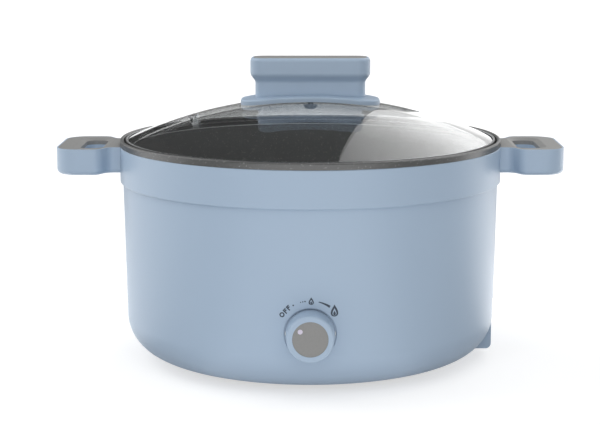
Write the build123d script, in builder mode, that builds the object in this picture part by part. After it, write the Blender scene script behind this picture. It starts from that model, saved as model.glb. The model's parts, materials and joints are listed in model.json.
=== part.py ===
"""Electric hot pot with a lift-off glass lid, side ears and a front heat control.

Millimetres, +Z up. The origin is on the pot's axis, on the plane its feet stand on.
The control knob faces -Y, the ears point along -X and +X, and the power inlet faces +X.
"""

import os
from math import cos, radians, sin, sqrt

from build123d import *

os.makedirs("parts", exist_ok=True)

# ---------------------------------------------------------------- driving dimensions

# general clearances
slip = 0.2  # between moulded parts that slide into each other
screw_gap = 0.3  # radial, screw shank in a plain hole
running_gap = 0.05  # radial, shaft in its bearing, screw in its thread, tube in its clip

# collar, the broadest band of the body
collar_radius = 141.0
collar_height = 26.7
collar_chamfer = 0.8
collar_lip_edge = 0.6
collar_wall = 2.5
collar_lip = 1.6  # thin wall round the pot's shoulder
collar_ledge_width = 1.7  # ledge that carries the seal and the pot
collar_ledge_thickness = 2.4
collar_ledge_slope = 1.0

# body shell, one deep moulding
foot_height = 5.0
shell_height = 127.5  # underside of the shell to the collar's lower edge
shell_step = 2.1  # the shell's skin lies this far inside the collar's
shell_draft = 1.7  # the skin narrows by this down to the base rounding
base_rounding = 28.0
wall = 2.5
spigot_height = 6.0  # lip that plugs into the collar
spigot_gap = 0.3
ring_thickness = 2.5  # inward ledge that the bottom cover is screwed to
ring_width = 8.3

# bottom cover
cover_margin = 5.2  # flat edge of the shell outside the cover
cover_thickness = 2.5
cover_recess = 0.8  # how far the cover sits up inside the shell
cover_boss_height = 13.7
cover_screw_count = 4
cover_screw_inset = 4.0
cover_screw_radius = 1.35
cover_screw_head = 2.8
cover_screw_head_height = 1.6
cover_screw_head_edge = 0.9
vent_count = 18
vent_length = 16.0
vent_width = 3.0
vent_circle = 66.0

# feet
foot_count = 4
foot_start_angle = 45.0
foot_inset = 16.0  # foot centre in from the cover's edge
foot_radius = 9.0
foot_taper = 4.0
foot_stem_radius = 3.0
foot_barb = 1.4
foot_barb_height = 2.4
foot_barb_taper = 20.0

# inner pot, cast aluminium
rim_inset = 0.3  # the rim's edge inside the collar's
rim_height = 4.8
rim_flat = 1.8
rim_chamfer = 0.8
rim_edge_radius = 1.2
rim_overhang = 1.7  # the rim beyond the shoulder under it
groove_width = 1.2  # dark gap between the rim's inner edge and the lid's ring
shoulder_thickness = 3.5
pot_lift = 62.0  # underside of the pot above the shell's underside
pot_wall = 2.8
pot_floor = 5.0
pot_draft = 7.4
pot_corner_radius = 14.0
pot_side_gap = 0.6
seal_thickness = 1.5

# lid: toughened glass dome in a pressed steel ring
dome_radius = 330.0
glass_thickness = 4.0
glass_bed = 0.2  # glass above the ring's foot
glass_edge_gap = 0.1
lid_ring_metal = 0.6
lid_ring_lip = 1.7
lid_ring_foot = 3.2
lid_ring_lip_gap = 0.35
lid_ring_edge = 0.5
lid_gap = 0.5  # radial, lid ring in the pot at the ledge

# steam eyelet
vent_offset = 87.2  # from the lid's axis
vent_azimuth = 189.6
eyelet_bore = 1.8
eyelet_wall = 0.7
eyelet_lip = 1.3
eyelet_flange = 1.0

# lid handle
neck_length = 81.0
neck_depth = 23.0
neck_corner = 7.0
neck_blend = 4.0
flange_margin_x = 10.85
flange_margin_y = 11.0
flange_corner = 17.0
flange_thickness = 3.7
flange_edge = 1.6
pad_thickness = 0.6
pad_inset = 2.5
grip_height = 31.0  # top of the handle above the dome's apex
cap_overhang = 3.6
cap_height = 12.6
cap_under_height = 4.6
cap_edge_radius = 2.6
cap_under_radius = 5.0
plate_border = 2.4
plate_thickness = 1.8
plate_edge = 0.4
insert_wall = 1.5
insert_height = 10.0
insert_sink = 1.0  # insert below the top of the flange
lid_screw_radius = 2.0
lid_screw_tip_gap = 1.0
lid_screw_head_height = 2.0
lid_screw_head_inset = 0.5
lid_screw_head_edge = 1.2
glass_hole_gap = 2.0  # radial, lid screw in the glass
washer_overlap = 1.1
washer_thickness = 1.0

# ear handles
ear_length = 44.2  # beyond the collar
ear_half_width = 38.6
ear_neck_half_width = 26.6
ear_neck_length = 9.2
ear_neck_slope = 3.0  # half the run of the slope between neck and shoulder
ear_root_depth = 6.0
ear_root_blend = 6.0
ear_shoulder_blend = 8.0
ear_corner = 16.0
ear_height = 19.0
ear_bottom_radius = 3.5
ear_rim = 1.0
ear_plate_thickness = 3.0
ear_hole_offset = 20.0  # hole centre beyond the collar
ear_hole_width = 16.4
ear_hole_length = 53.0
ear_hole_end = 2.4  # straight part of the hole's ends
ear_hole_bevel = 3.8
ear_hole_bevel_depth = 1.8
ear_lining = 1.4
ear_lining_depth = 4.8
ear_screw_rise = 4.6  # screws above the ear's underside
ear_screw_spread = 28.0
ear_screw_radius = 1.8
ear_screw_head = 3.0
ear_screw_head_height = 1.4
ear_screw_depth = 8.5
ear_screw_tip_gap = 1.0

# heat control
knob_height = 42.3  # control axis above the shell's underside
knob_base_radius = 16.75
knob_draft = 0.75
knob_protrusion = 17.2  # knob face above the pocket's floor
knob_gap = 0.5
knob_edge_radius = 1.5
knob_wall = 2.0
knob_top = 4.2
knob_disc_border = 3.9
knob_disc_thickness = 1.2
knob_disc_sink = 0.2
pointer_radius = 1.65
pointer_margin = 1.85
pointer_angle = 142.0
pointer_sink = 0.1
pocket_gap = 1.25
pocket_depth = 2.0  # below the shell's skin
panel_thickness = 4.0
shaft_radius = 3.0
shaft_flat_cut = 0.7
shaft_tip_gap = 0.3
shaft_end_gap = 1.0
hub_wall = 2.5
hub_gap = 1.0
hub_cap = 1.0
spring_metal = 0.6
spring_length = 4.0
spring_setback = 1.0
spring_opening = 3.0
control_screw_radius = 1.9
control_screw_head = 3.2
control_screw_margin = 0.8
control_screw_length = 9.0
control_slot_length = 3.6
control_slot_width = 0.8

# heating element, cast rib and heat shield
element_circle = 80.0
element_radius = 3.3
element_gap_angle = 40.0
element_bend = 8.0
element_drop = 23.5
element_seat = 2.5  # element's centre above the rib's underside
pin_radius = 1.5
pin_length = 8.0
rib_width = 12.0
rib_height = 8.0
rib_end_angle = 4.0  # rib ends short of the element's bends
bush_wall = 2.0
bush_flange = 1.7
bush_flange_height = 1.6
bush_drop = 5.0
shield_margin = 6.0
shield_thickness = 0.8
shield_drop = 17.0  # underside of the pot to the underside of the shield
shield_rim_height = 10.0
notch_width = 10.0

# studs that tie the pot to the bottom cover
stud_count = 3
stud_start_angle = 90.0
stud_circle = 50.0
stud_radius = 2.0
stud_end = 1.5
stud_tip_gap = 2.0
boss_wall = 3.0
boss_blind = 2.0
nut_radius = 4.0
nut_height = 3.2
nut_gap = 0.4
nut_shelf = 6.0

# power inlet
inlet_inset = 2.7  # inlet face inside the shell's skin
inlet_bottom = 3.0  # above the shell's underside
inlet_height = 38.0
inlet_depth = 22.5
inlet_corner = 4.0
inlet_side_edge = 0.8
inlet_front = 3.0
inlet_clearance = 0.5
inlet_screw_radius = 1.5
inlet_screw_head = 2.9
inlet_screw_head_height = 1.8
inlet_screw_head_edge = 1.0
inlet_screw_offset = 5.5  # screw centre outside the socket
inlet_screw_tip = 3.0
inlet_slot_length = 3.2
inlet_slot_width = 0.7
inlet_slot_depth = 0.9
recess_width = 24.6
recess_height = 17.6
recess_depth = 16.5
recess_corner = 2.0
socket_wall = 2.2
socket_corner = 3.0
socket_back = 5.5
socket_flange = 3.0
socket_flange_edge = 3.0
socket_flange_corner = 4.0
blade_length = 14.0
blade_tail = 8.5
blade_width = 4.0
blade_thickness = 2.0
blade_spacing = 7.0
blade_offset = 2.0  # earth above and the other two below the middle
blade_tip = 0.4

# thermostat
bracket_thickness = 1.5
bracket_overhang = 2.0
bracket_corner = 3.0
thermostat_width = 40.0
thermostat_corner = 2.0
thermostat_gap = 7.0  # to the heat shield
thermostat_clearance = 4.7  # to the underside of the pot
thermostat_end_wall = 10.0
tab_width = 6.3
tab_thickness = 0.8
tab_length = 8.0
tab_spread = 24.0
tab_drop = 7.0

# sensor bulb, thermal fuse and their clips
capillary_radius = 1.0
capillary_bend = 4.0
capillary_rise = 3.7
capillary_clear = 3.0  # the tube starts to climb to the bulb this far inside the rib
capillary_lead = 7.0  # straight run into the bulb
bulb_radius = 3.0
bulb_length = 50.0
bulb_edge = 1.2
bulb_y = -30.0
fuse_radius = 3.0
fuse_length = 26.0
fuse_edge = 0.8
fuse_y = -55.0
clip_length = 9.0
clip_metal = 0.8
clip_spread = 18.0
clip_tab = 3.5
clip_hole_radius = 1.45
clip_hole_depth = 3.5
clip_screw_head = 2.6
clip_screw_head_height = 1.4
clip_screw_tip_gap = 0.3

# wiring: corners of the hand-chosen routes, through the free space under the shield
wire_radius = 1.6
wire_bend = 4.0
wire_live_bend = 7.0
wire_earth_bend = 5.0
terminal_lead = 12.0  # straight run off a terminal
pin_lead = 13.0
tab_lead = 16.0
fuse_lead = 14.0
live_near_x = 74.0
live_near_y = -50.0
live_near_rise = 17.0  # above the shell's underside, as all the rises here
live_far_x = 30.0
live_far_y = -70.0
live_far_rise = 20.0
fuse_corner_x = 28.0
fuse_corner_y = -65.0
fuse_corner_rise = 38.0
element_corner_x = 62.0
element_corner_y = -40.0
element_corner_rise = 25.0
earth_corner_x = 62.0
earth_corner_rise = 28.0

# ---------------------------------------------------------------- radii

shell_radius_high = collar_radius - shell_step
shell_radius_low = shell_radius_high - shell_draft
rounding_r = shell_radius_low - base_rounding
cover_radius = rounding_r - cover_margin
cover_seat_radius = cover_radius + slip
cover_screw_circle = cover_radius - cover_screw_inset
foot_circle = cover_radius - foot_inset

collar_inner = collar_radius - collar_wall
collar_bore = collar_radius - collar_lip
spigot_radius = collar_inner - spigot_gap
ledge_inner = collar_inner - collar_ledge_width

rim_radius = collar_radius - rim_inset
rim_inner = rim_radius - rim_flat
groove_radius = rim_inner - rim_chamfer
shoulder_radius = rim_radius - rim_overhang
pot_top_outer = ledge_inner - pot_side_gap
pot_floor_outer = pot_top_outer - pot_draft
pot_radius_top = pot_top_outer - pot_wall
pot_radius_floor = pot_floor_outer - pot_wall

lid_ring_radius = groove_radius - groove_width
lid_ring_inside = lid_ring_radius - lid_ring_metal
lid_ring_lip_radius = lid_ring_radius - lid_ring_lip
glass_edge = lid_ring_inside - glass_edge_gap
pot_ledge_radius = lid_ring_radius + lid_gap

knob_face_radius = knob_base_radius - knob_draft
knob_disc_radius = knob_face_radius - knob_disc_border
pocket_radius = knob_base_radius + pocket_gap
control_screw_spread = 2 * (pocket_radius - control_screw_head - control_screw_margin)
shield_radius = element_circle + rib_width / 2 + shield_margin

# ---------------------------------------------------------------- levels

base_z = foot_height
cover_z = base_z + cover_recess
cover_top_z = cover_z + cover_thickness
ring_z = cover_top_z + ring_thickness
rounding_z = base_z + base_rounding
step_z = base_z + shell_height
collar_z = step_z + collar_height
rim_z = collar_z + rim_height
knob_z = base_z + knob_height

under_z = base_z + pot_lift
floor_z = under_z + pot_floor
shield_z = under_z - shield_drop
shield_top_z = shield_z + shield_thickness

# the lid's ring is as deep as the glass that it grips, and the pot's ledge carries it
glass_low_edge = sqrt((dome_radius - glass_thickness) ** 2 - glass_edge**2)
glass_grip = sqrt(dome_radius**2 - lid_ring_lip_radius**2) - glass_low_edge
ledge_z = rim_z - 2 * lid_ring_metal - glass_bed - glass_grip - lid_ring_lip_gap
dome_center_z = ledge_z + lid_ring_metal + glass_bed - glass_low_edge
apex_z = dome_center_z + dome_radius
shoulder_z = ledge_z - shoulder_thickness
seal_z = shoulder_z - seal_thickness
ledge_low_z = seal_z - collar_ledge_thickness


def skin_radius(z):
    """Outer radius of the shell at a height above the base rounding."""
    share = (z - rounding_z) / (step_z - rounding_z)
    return shell_radius_low + share * (shell_radius_high - shell_radius_low)


def dome_z(r, rise=0.0):
    """Height of the dome's outer surface, raised by rise, at radius r."""
    return dome_center_z + sqrt((dome_radius + rise) ** 2 - r**2)


def finish(part, name):
    """Label a finished piece and write its STEP file."""
    part.label = name
    export_step(part, f"parts/{name}.step")


# ---------------------------------------------------------------- body shell

pocket_y = -(skin_radius(knob_z) - pocket_depth)
panel_y = pocket_y + panel_thickness
control_plane = Plane(origin=(0, pocket_y, knob_z), x_dir=(1, 0, 0), z_dir=(0, -1, 0))

ring_outer = rounding_r + sqrt((base_rounding - wall) ** 2 - (rounding_z - ring_z) ** 2)
ring_inner = cover_seat_radius - ring_width

recess_middle_z = base_z + inlet_bottom + inlet_height / 2
socket_width = recess_width + 2 * socket_wall
socket_height = recess_height + 2 * socket_wall
inlet_screw_spread = socket_width + 2 * inlet_screw_offset
socket_flange_width = inlet_screw_spread + 2 * socket_flange_edge
socket_flange_height = socket_height + 2 * socket_flange_edge
inlet_width = socket_flange_width + 2 * (wall + inlet_clearance)
inlet_face = shell_radius_low - inlet_inset
inlet_back = inlet_face - inlet_depth

with BuildPart() as body_shell:
    with BuildSketch(Plane.XZ):
        with BuildLine():
            Line((cover_seat_radius, base_z), (rounding_r, base_z))
            TangentArc((rounding_r, base_z), (shell_radius_low, rounding_z), tangent=(1, 0))
            Polyline(
                (shell_radius_low, rounding_z),
                (shell_radius_high, step_z),
                (spigot_radius, step_z),
                (spigot_radius, step_z + spigot_height),
                (spigot_radius - wall, step_z + spigot_height),
                (shell_radius_low - wall, rounding_z),
            )
            TangentArc((shell_radius_low - wall, rounding_z), (ring_outer, ring_z), tangent=(0, -1))
            Polyline(
                (ring_outer, ring_z),
                (ring_inner, ring_z),
                (ring_inner, cover_top_z),
                (cover_seat_radius, cover_top_z),
                (cover_seat_radius, base_z),
            )
        make_face()
    revolve(axis=Axis.Z)
    # thick panel behind the control knob, with its round pocket, shaft hole and screw holes
    with BuildSketch(control_plane):
        Circle(pocket_radius + wall)
    extrude(amount=-panel_thickness)
    with BuildSketch(control_plane):
        Circle(pocket_radius)
    extrude(amount=knob_protrusion, mode=Mode.SUBTRACT)
    with BuildSketch(control_plane):
        Circle(shaft_radius + running_gap)
    extrude(amount=-panel_thickness, mode=Mode.SUBTRACT)
    with Locations(control_plane):
        with GridLocations(control_screw_spread, 0, 2, 1):
            CounterSinkHole(control_screw_radius + screw_gap, control_screw_head + screw_gap, panel_thickness)
    # window for the inlet housing
    with BuildSketch(Plane.YZ.offset(inlet_back - slip)):
        with Locations((0, recess_middle_z)):
            Rectangle(inlet_width + 2 * slip, inlet_height + 2 * slip)
    extrude(amount=inlet_depth + base_rounding, mode=Mode.SUBTRACT)
    # threaded holes in the ledge for the bottom cover
    with BuildSketch(Plane.XY.offset(cover_top_z)):
        with PolarLocations(cover_screw_circle, cover_screw_count):
            Circle(cover_screw_radius + running_gap)
    extrude(amount=ring_thickness, mode=Mode.SUBTRACT)
finish(body_shell.part, "body_shell")

# ---------------------------------------------------------------- collar

ear_low_z = collar_z - ear_height
ear_screw_z = ear_low_z + ear_screw_rise

with BuildPart() as collar:
    with BuildSketch(Plane.XZ):
        with BuildLine():
            Polyline(
                (collar_inner, step_z),
                (collar_radius - collar_chamfer, step_z),
                (collar_radius, step_z + collar_chamfer),
                (collar_radius, collar_z - collar_lip_edge),
                (collar_radius - collar_lip_edge, collar_z),
                (collar_bore, collar_z),
                (collar_bore, seal_z),
                (ledge_inner, seal_z),
                (ledge_inner, ledge_low_z),
                (collar_inner, ledge_low_z - collar_ledge_slope),
                close=True,
            )
        make_face()
    revolve(axis=Axis.Z)
    with BuildSketch(Plane.YZ.offset(-collar_radius)):
        with Locations((0, ear_screw_z)):
            with GridLocations(ear_screw_spread, 0, 2, 1):
                Circle(ear_screw_radius + screw_gap)
    extrude(amount=2 * collar_radius, mode=Mode.SUBTRACT)
finish(collar.part, "collar")

# ---------------------------------------------------------------- ear handles

ear_reach = collar_radius + ear_length
ear_neck_x = collar_radius + ear_neck_length - ear_neck_slope
ear_shoulder_x = collar_radius + ear_neck_length + ear_neck_slope
ear_root_x = collar_radius - ear_root_depth
ear_seat_radius = collar_radius + running_gap
ear_hole_x = collar_radius + ear_hole_offset
plate_z = collar_z - ear_plate_thickness
lining_z = collar_z - ear_lining_depth

with BuildSketch() as ear_plan:
    with BuildLine():
        Polyline(
            (ear_root_x, -ear_neck_half_width),
            (ear_neck_x, -ear_neck_half_width),
            (ear_shoulder_x, -ear_half_width),
            (ear_reach, -ear_half_width),
            (ear_reach, ear_half_width),
            (ear_shoulder_x, ear_half_width),
            (ear_neck_x, ear_neck_half_width),
            (ear_root_x, ear_neck_half_width),
            close=True,
        )
    make_face()
    fillet(ear_plan.vertices().group_by(Axis.X)[-1], ear_corner)
    fillet(ear_plan.vertices().group_by(Axis.X)[1], ear_root_blend)
    fillet(ear_plan.vertices().filter_by_position(Axis.X, ear_shoulder_x, ear_shoulder_x), ear_shoulder_blend)

with BuildSketch() as ear_pocket_plan:
    add(ear_plan.sketch)
    offset(amount=-ear_rim, mode=Mode.REPLACE)

with BuildSketch() as ear_plate_plan:
    add(ear_plan.sketch)
    offset(amount=-ear_rim - slip / 2, mode=Mode.REPLACE)

with BuildSketch() as ear_hole_plan:
    with Locations((ear_hole_x, 0)):
        RectangleRounded(ear_hole_width, ear_hole_length, (ear_hole_width - ear_hole_end) / 2)

with BuildPart() as handle_right:
    with BuildSketch(Plane.XY.offset(ear_low_z)):
        add(ear_plan.sketch)
    extrude(amount=ear_height)
    fillet(handle_right.edges().group_by(Axis.Z)[0], ear_bottom_radius)
    with BuildSketch(Plane.XY.offset(plate_z)):
        add(ear_pocket_plan.sketch)
    extrude(amount=ear_plate_thickness, mode=Mode.SUBTRACT)
    with BuildSketch(Plane.XY.offset(lining_z)):
        add(ear_hole_plan.sketch)
        offset(amount=ear_lining + slip / 2, mode=Mode.REPLACE)
    extrude(amount=ear_lining_depth, mode=Mode.SUBTRACT)
    with BuildSketch(Plane.XY.offset(ear_low_z)):
        add(ear_hole_plan.sketch)
        Circle(ear_seat_radius)
    extrude(amount=ear_height, mode=Mode.SUBTRACT)
    with BuildSketch(Plane.YZ.offset(collar_inner)):
        with Locations((0, ear_screw_z)):
            with GridLocations(ear_screw_spread, 0, 2, 1):
                Circle(ear_screw_radius + running_gap)
    extrude(amount=collar_wall + ear_screw_depth, mode=Mode.SUBTRACT)
finish(handle_right.part, "handle_right")

with BuildPart() as handle_left:
    mirror(handle_right.part, about=Plane.YZ)
finish(handle_left.part, "handle_left")

# grey cap: a plate in the ear's top and a lining that reaches down into the finger hole
with BuildPart() as handle_cap_right:
    with BuildSketch(Plane.XY.offset(plate_z)):
        add(ear_plate_plan.sketch)
    extrude(amount=ear_plate_thickness)
    with BuildSketch(Plane.XY.offset(lining_z)):
        add(ear_hole_plan.sketch)
        offset(amount=ear_lining, mode=Mode.REPLACE)
    extrude(amount=ear_lining_depth)
    with BuildSketch(Plane.XY.offset(lining_z)):
        add(ear_hole_plan.sketch)
        Circle(ear_seat_radius)
    extrude(amount=ear_lining_depth, mode=Mode.SUBTRACT)
    with BuildSketch(Plane.XY.offset(collar_z)):
        add(ear_hole_plan.sketch)
        offset(amount=ear_hole_bevel, mode=Mode.REPLACE)
    with BuildSketch(Plane.XY.offset(collar_z - ear_hole_bevel_depth)):
        add(ear_hole_plan.sketch)
    loft(mode=Mode.SUBTRACT)
finish(handle_cap_right.part, "handle_cap_right")

with BuildPart() as handle_cap_left:
    mirror(handle_cap_right.part, about=Plane.YZ)
finish(handle_cap_left.part, "handle_cap_left")

# pan-head screws from inside the collar into the root of each ear
head_seat_x = sqrt(collar_inner**2 - (ear_screw_spread / 2 + ear_screw_head) ** 2)
ear_screw_length = collar_radius - head_seat_x + ear_screw_depth - ear_screw_tip_gap
with BuildPart() as handle_screws:
    for side in (-1, 1):
        toward_ear = Plane(origin=(side * head_seat_x, 0, ear_screw_z), x_dir=(0, 1, 0), z_dir=(side, 0, 0))
        with BuildSketch(toward_ear):
            with GridLocations(ear_screw_spread, 0, 2, 1):
                Circle(ear_screw_radius)
        extrude(amount=ear_screw_length)
        with BuildSketch(toward_ear):
            with GridLocations(ear_screw_spread, 0, 2, 1):
                Circle(ear_screw_head)
        extrude(amount=-ear_screw_head_height)
finish(handle_screws.part, "handle_screws")

# ---------------------------------------------------------------- inner pot

rib_low_z = under_z - rib_height
element_z = rib_low_z + element_seat
element_start = element_gap_angle / 2
rib_start = element_start + rib_end_angle
boss_radius = stud_radius + boss_wall
boss_height = shield_drop - shield_thickness

with BuildPart() as inner_pot:
    with BuildSketch(Plane.XZ):
        with BuildLine():
            Polyline(
                (0, floor_z),
                (pot_radius_floor, floor_z),
                (pot_radius_top, ledge_z),
                (pot_ledge_radius, ledge_z),
                (groove_radius, rim_z - rim_chamfer),
                (rim_inner, rim_z),
                (rim_radius, rim_z),
                (rim_radius, collar_z),
                (shoulder_radius, collar_z),
                (shoulder_radius, shoulder_z),
                (pot_top_outer, shoulder_z),
                (pot_floor_outer, under_z),
                (0, under_z),
                close=True,
            )
        make_face()
    revolve(axis=Axis.Z)
    floor_edge = inner_pot.edges().filter_by(GeomType.CIRCLE).filter_by_position(Axis.Z, floor_z, floor_z)
    fillet(floor_edge, pot_corner_radius)
    under_edge = inner_pot.edges().filter_by(GeomType.CIRCLE).filter_by_position(Axis.Z, under_z, under_z)
    fillet(under_edge, pot_corner_radius + pot_wall)
    rim_edges = inner_pot.edges().filter_by(GeomType.CIRCLE).filter_by_position(Axis.Z, rim_z, rim_z)
    fillet(rim_edges.sort_by(SortBy.RADIUS)[-1], rim_edge_radius)
    # rib that the heating element is swaged into
    with BuildSketch(Plane.XZ.rotated((0, 0, rib_start))):
        with Locations((element_circle, under_z - rib_height / 2)):
            Rectangle(rib_width, rib_height)
    revolve(axis=Axis.Z, revolution_arc=360 - 2 * rib_start)
    with BuildSketch(Plane.XZ):
        with Locations((element_circle, element_z)):
            Circle(element_radius + running_gap)
    revolve(axis=Axis.Z, mode=Mode.SUBTRACT)
    # bosses for the tie studs
    with BuildSketch(Plane.XY.offset(under_z)):
        with PolarLocations(stud_circle, stud_count, stud_start_angle):
            Circle(boss_radius)
    extrude(amount=-boss_height)
    with BuildSketch(Plane.XY.offset(under_z - boss_height)):
        with PolarLocations(stud_circle, stud_count, stud_start_angle):
            Circle(stud_radius + running_gap)
    extrude(amount=boss_height - boss_blind, mode=Mode.SUBTRACT)
    # blind holes for the sensor clip's screws
    with BuildSketch(Plane.XY.offset(under_z)):
        with Locations((0, bulb_y)):
            with GridLocations(clip_spread, 0, 2, 1):
                Circle(clip_hole_radius)
    extrude(amount=clip_hole_depth, mode=Mode.SUBTRACT)
finish(inner_pot.part, "inner_pot")

with BuildPart() as pot_seal:
    with BuildSketch(Plane.XY.offset(seal_z)):
        Circle(shoulder_radius)
        Circle(ledge_inner + slip, mode=Mode.SUBTRACT)
    extrude(amount=seal_thickness)
finish(pot_seal.part, "pot_seal")

# ---------------------------------------------------------------- heating element and heat shield

end_x = element_circle * cos(radians(element_start))
end_y = element_circle * sin(radians(element_start))
tail_x = end_x + element_bend * sin(radians(element_start))
tail_y = end_y - element_bend * cos(radians(element_start))
tail_z = element_z - element_drop
pin_z = tail_z - pin_length
bush_radius = element_radius + bush_wall

with BuildPart() as heating_element:
    with BuildSketch(Plane.XZ.rotated((0, 0, element_start))):
        with Locations((element_circle, element_z)):
            Circle(element_radius)
    revolve(axis=Axis.Z, revolution_arc=360 - element_gap_angle)
    for side in (-1, 1):
        toward_gap = (sin(radians(element_start)), -side * cos(radians(element_start)), 0)
        with BuildLine() as tail:
            bend = TangentArc(
                (end_x, side * end_y, element_z),
                (tail_x, side * tail_y, element_z - element_bend),
                tangent=toward_gap,
            )
            Line(bend @ 1, (tail_x, side * tail_y, tail_z))
        with BuildSketch(Plane(origin=tail.line @ 0, z_dir=tail.line % 0)):
            Circle(element_radius)
        sweep(path=tail.line)
        with BuildSketch(Plane.XY.offset(tail_z)):
            with Locations((tail_x, side * tail_y)):
                Circle(pin_radius)
        extrude(amount=-pin_length)
finish(heating_element.part, "heating_element")

with BuildPart() as heat_shield:
    with BuildSketch(Plane.XY.offset(shield_z)):
        Circle(shield_radius)
    extrude(amount=shield_thickness)
    with BuildSketch(Plane.XY.offset(shield_z)):
        Circle(shield_radius + shield_thickness)
        Circle(shield_radius, mode=Mode.SUBTRACT)
    extrude(amount=shield_rim_height)
    with BuildSketch(Plane.XY.offset(shield_z)):
        with PolarLocations(stud_circle, stud_count, stud_start_angle):
            Circle(stud_radius + screw_gap)
        with Locations((tail_x, tail_y), (tail_x, -tail_y)):
            Circle(bush_radius + slip)
        with Locations((0, fuse_y)):
            with GridLocations(0, clip_spread, 1, 2):
                Circle(clip_hole_radius)
    extrude(amount=shield_thickness, mode=Mode.SUBTRACT)
    # notch in the rim for the capillary
    with BuildSketch(Plane.XY.offset(shield_top_z)):
        with Locations((0, -shield_radius)):
            Rectangle(notch_width, notch_width)
    extrude(amount=shield_rim_height, mode=Mode.SUBTRACT)
finish(heat_shield.part, "heat_shield")

with BuildPart() as element_bushes:
    with BuildSketch(Plane.XY.offset(shield_z - bush_drop)):
        with Locations((tail_x, tail_y), (tail_x, -tail_y)):
            Circle(bush_radius)
    extrude(amount=bush_drop + shield_thickness)
    with BuildSketch(Plane.XY.offset(shield_top_z)):
        with Locations((tail_x, tail_y), (tail_x, -tail_y)):
            Circle(bush_radius + bush_flange)
    extrude(amount=bush_flange_height)
    with BuildSketch(Plane.XY.offset(shield_z - bush_drop)):
        with Locations((tail_x, tail_y), (tail_x, -tail_y)):
            Circle(element_radius + 2 * running_gap)
    extrude(amount=bush_drop + shield_thickness + bush_flange_height, mode=Mode.SUBTRACT)
finish(element_bushes.part, "element_bushes")

# ---------------------------------------------------------------- bottom cover, studs and feet

cover_boss_z = cover_top_z + cover_boss_height
nut_seat_z = cover_boss_z - nut_shelf
nut_pocket = nut_radius + nut_gap
stud_low_z = nut_seat_z - nut_height - stud_end

with BuildPart() as bottom_cover:
    with BuildSketch(Plane.XY.offset(cover_z)):
        Circle(cover_radius)
        with PolarLocations(vent_circle, vent_count):
            SlotOverall(vent_length, vent_width, mode=Mode.SUBTRACT)
        with PolarLocations(foot_circle, foot_count, foot_start_angle):
            Circle(foot_stem_radius + running_gap, mode=Mode.SUBTRACT)
        with PolarLocations(cover_screw_circle, cover_screw_count):
            Circle(cover_screw_radius + screw_gap, mode=Mode.SUBTRACT)
    extrude(amount=cover_thickness)
    with BuildSketch(Plane.XY.offset(cover_z)):
        with PolarLocations(stud_circle, stud_count, stud_start_angle):
            Circle(nut_pocket + wall)
    extrude(amount=cover_boss_z - cover_z)
    with BuildSketch(Plane.XY.offset(cover_z)):
        with PolarLocations(stud_circle, stud_count, stud_start_angle):
            Circle(nut_pocket)
    extrude(amount=nut_seat_z - cover_z, mode=Mode.SUBTRACT)
    with BuildSketch(Plane.XY.offset(nut_seat_z)):
        with PolarLocations(stud_circle, stud_count, stud_start_angle):
            Circle(stud_radius + screw_gap)
    extrude(amount=nut_shelf, mode=Mode.SUBTRACT)
finish(bottom_cover.part, "bottom_cover")

with BuildPart() as bottom_screws:
    with BuildSketch(Plane.XY.offset(cover_z)):
        with PolarLocations(cover_screw_circle, cover_screw_count):
            Circle(cover_screw_radius)
    extrude(amount=cover_thickness + ring_thickness)
    with BuildSketch(Plane.XY.offset(cover_z)):
        with PolarLocations(cover_screw_circle, cover_screw_count):
            Circle(cover_screw_head)
    extrude(amount=-cover_screw_head_height)
    fillet(bottom_screws.edges().group_by(Axis.Z)[0], cover_screw_head_edge)
finish(bottom_screws.part, "bottom_screws")

with BuildPart() as feet:
    with BuildSketch():
        with PolarLocations(foot_circle, foot_count, foot_start_angle):
            Circle(foot_radius)
    extrude(amount=cover_z, taper=foot_taper)
    with BuildSketch(Plane.XY.offset(cover_z)):
        with PolarLocations(foot_circle, foot_count, foot_start_angle):
            Circle(foot_stem_radius)
    extrude(amount=cover_thickness)
    with BuildSketch(Plane.XY.offset(cover_top_z)):
        with PolarLocations(foot_circle, foot_count, foot_start_angle):
            Circle(foot_stem_radius + foot_barb)
    extrude(amount=foot_barb_height, taper=foot_barb_taper)
finish(feet.part, "feet")

with BuildPart() as pot_studs:
    with BuildSketch(Plane.XY.offset(stud_low_z)):
        with PolarLocations(stud_circle, stud_count, stud_start_angle):
            Circle(stud_radius)
    extrude(amount=under_z - boss_blind - stud_tip_gap - stud_low_z)
finish(pot_studs.part, "pot_studs")

with BuildPart() as pot_nuts:
    with BuildSketch(Plane.XY.offset(nut_seat_z)):
        with PolarLocations(stud_circle, stud_count, stud_start_angle):
            RegularPolygon(nut_radius, 6)
            Circle(stud_radius + running_gap, mode=Mode.SUBTRACT)
    extrude(amount=-nut_height)
finish(pot_nuts.part, "pot_nuts")

with BuildPart() as pot_spacers:
    with BuildSketch(Plane.XY.offset(cover_boss_z)):
        with PolarLocations(stud_circle, stud_count, stud_start_angle):
            Circle(boss_radius)
            Circle(stud_radius + screw_gap, mode=Mode.SUBTRACT)
    extrude(amount=shield_z - cover_boss_z)
finish(pot_spacers.part, "pot_spacers")

# ---------------------------------------------------------------- power inlet

front_inside = inlet_face - inlet_front
socket_rear = inlet_face - recess_depth - socket_back
live_z = recess_middle_z - blade_offset
earth_z = recess_middle_z + blade_offset
blade_places = ((-blade_spacing, live_z), (blade_spacing, live_z), (0, earth_z))
blade_end = socket_rear - blade_tail
blade_front = inlet_face - recess_depth + blade_length

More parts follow.
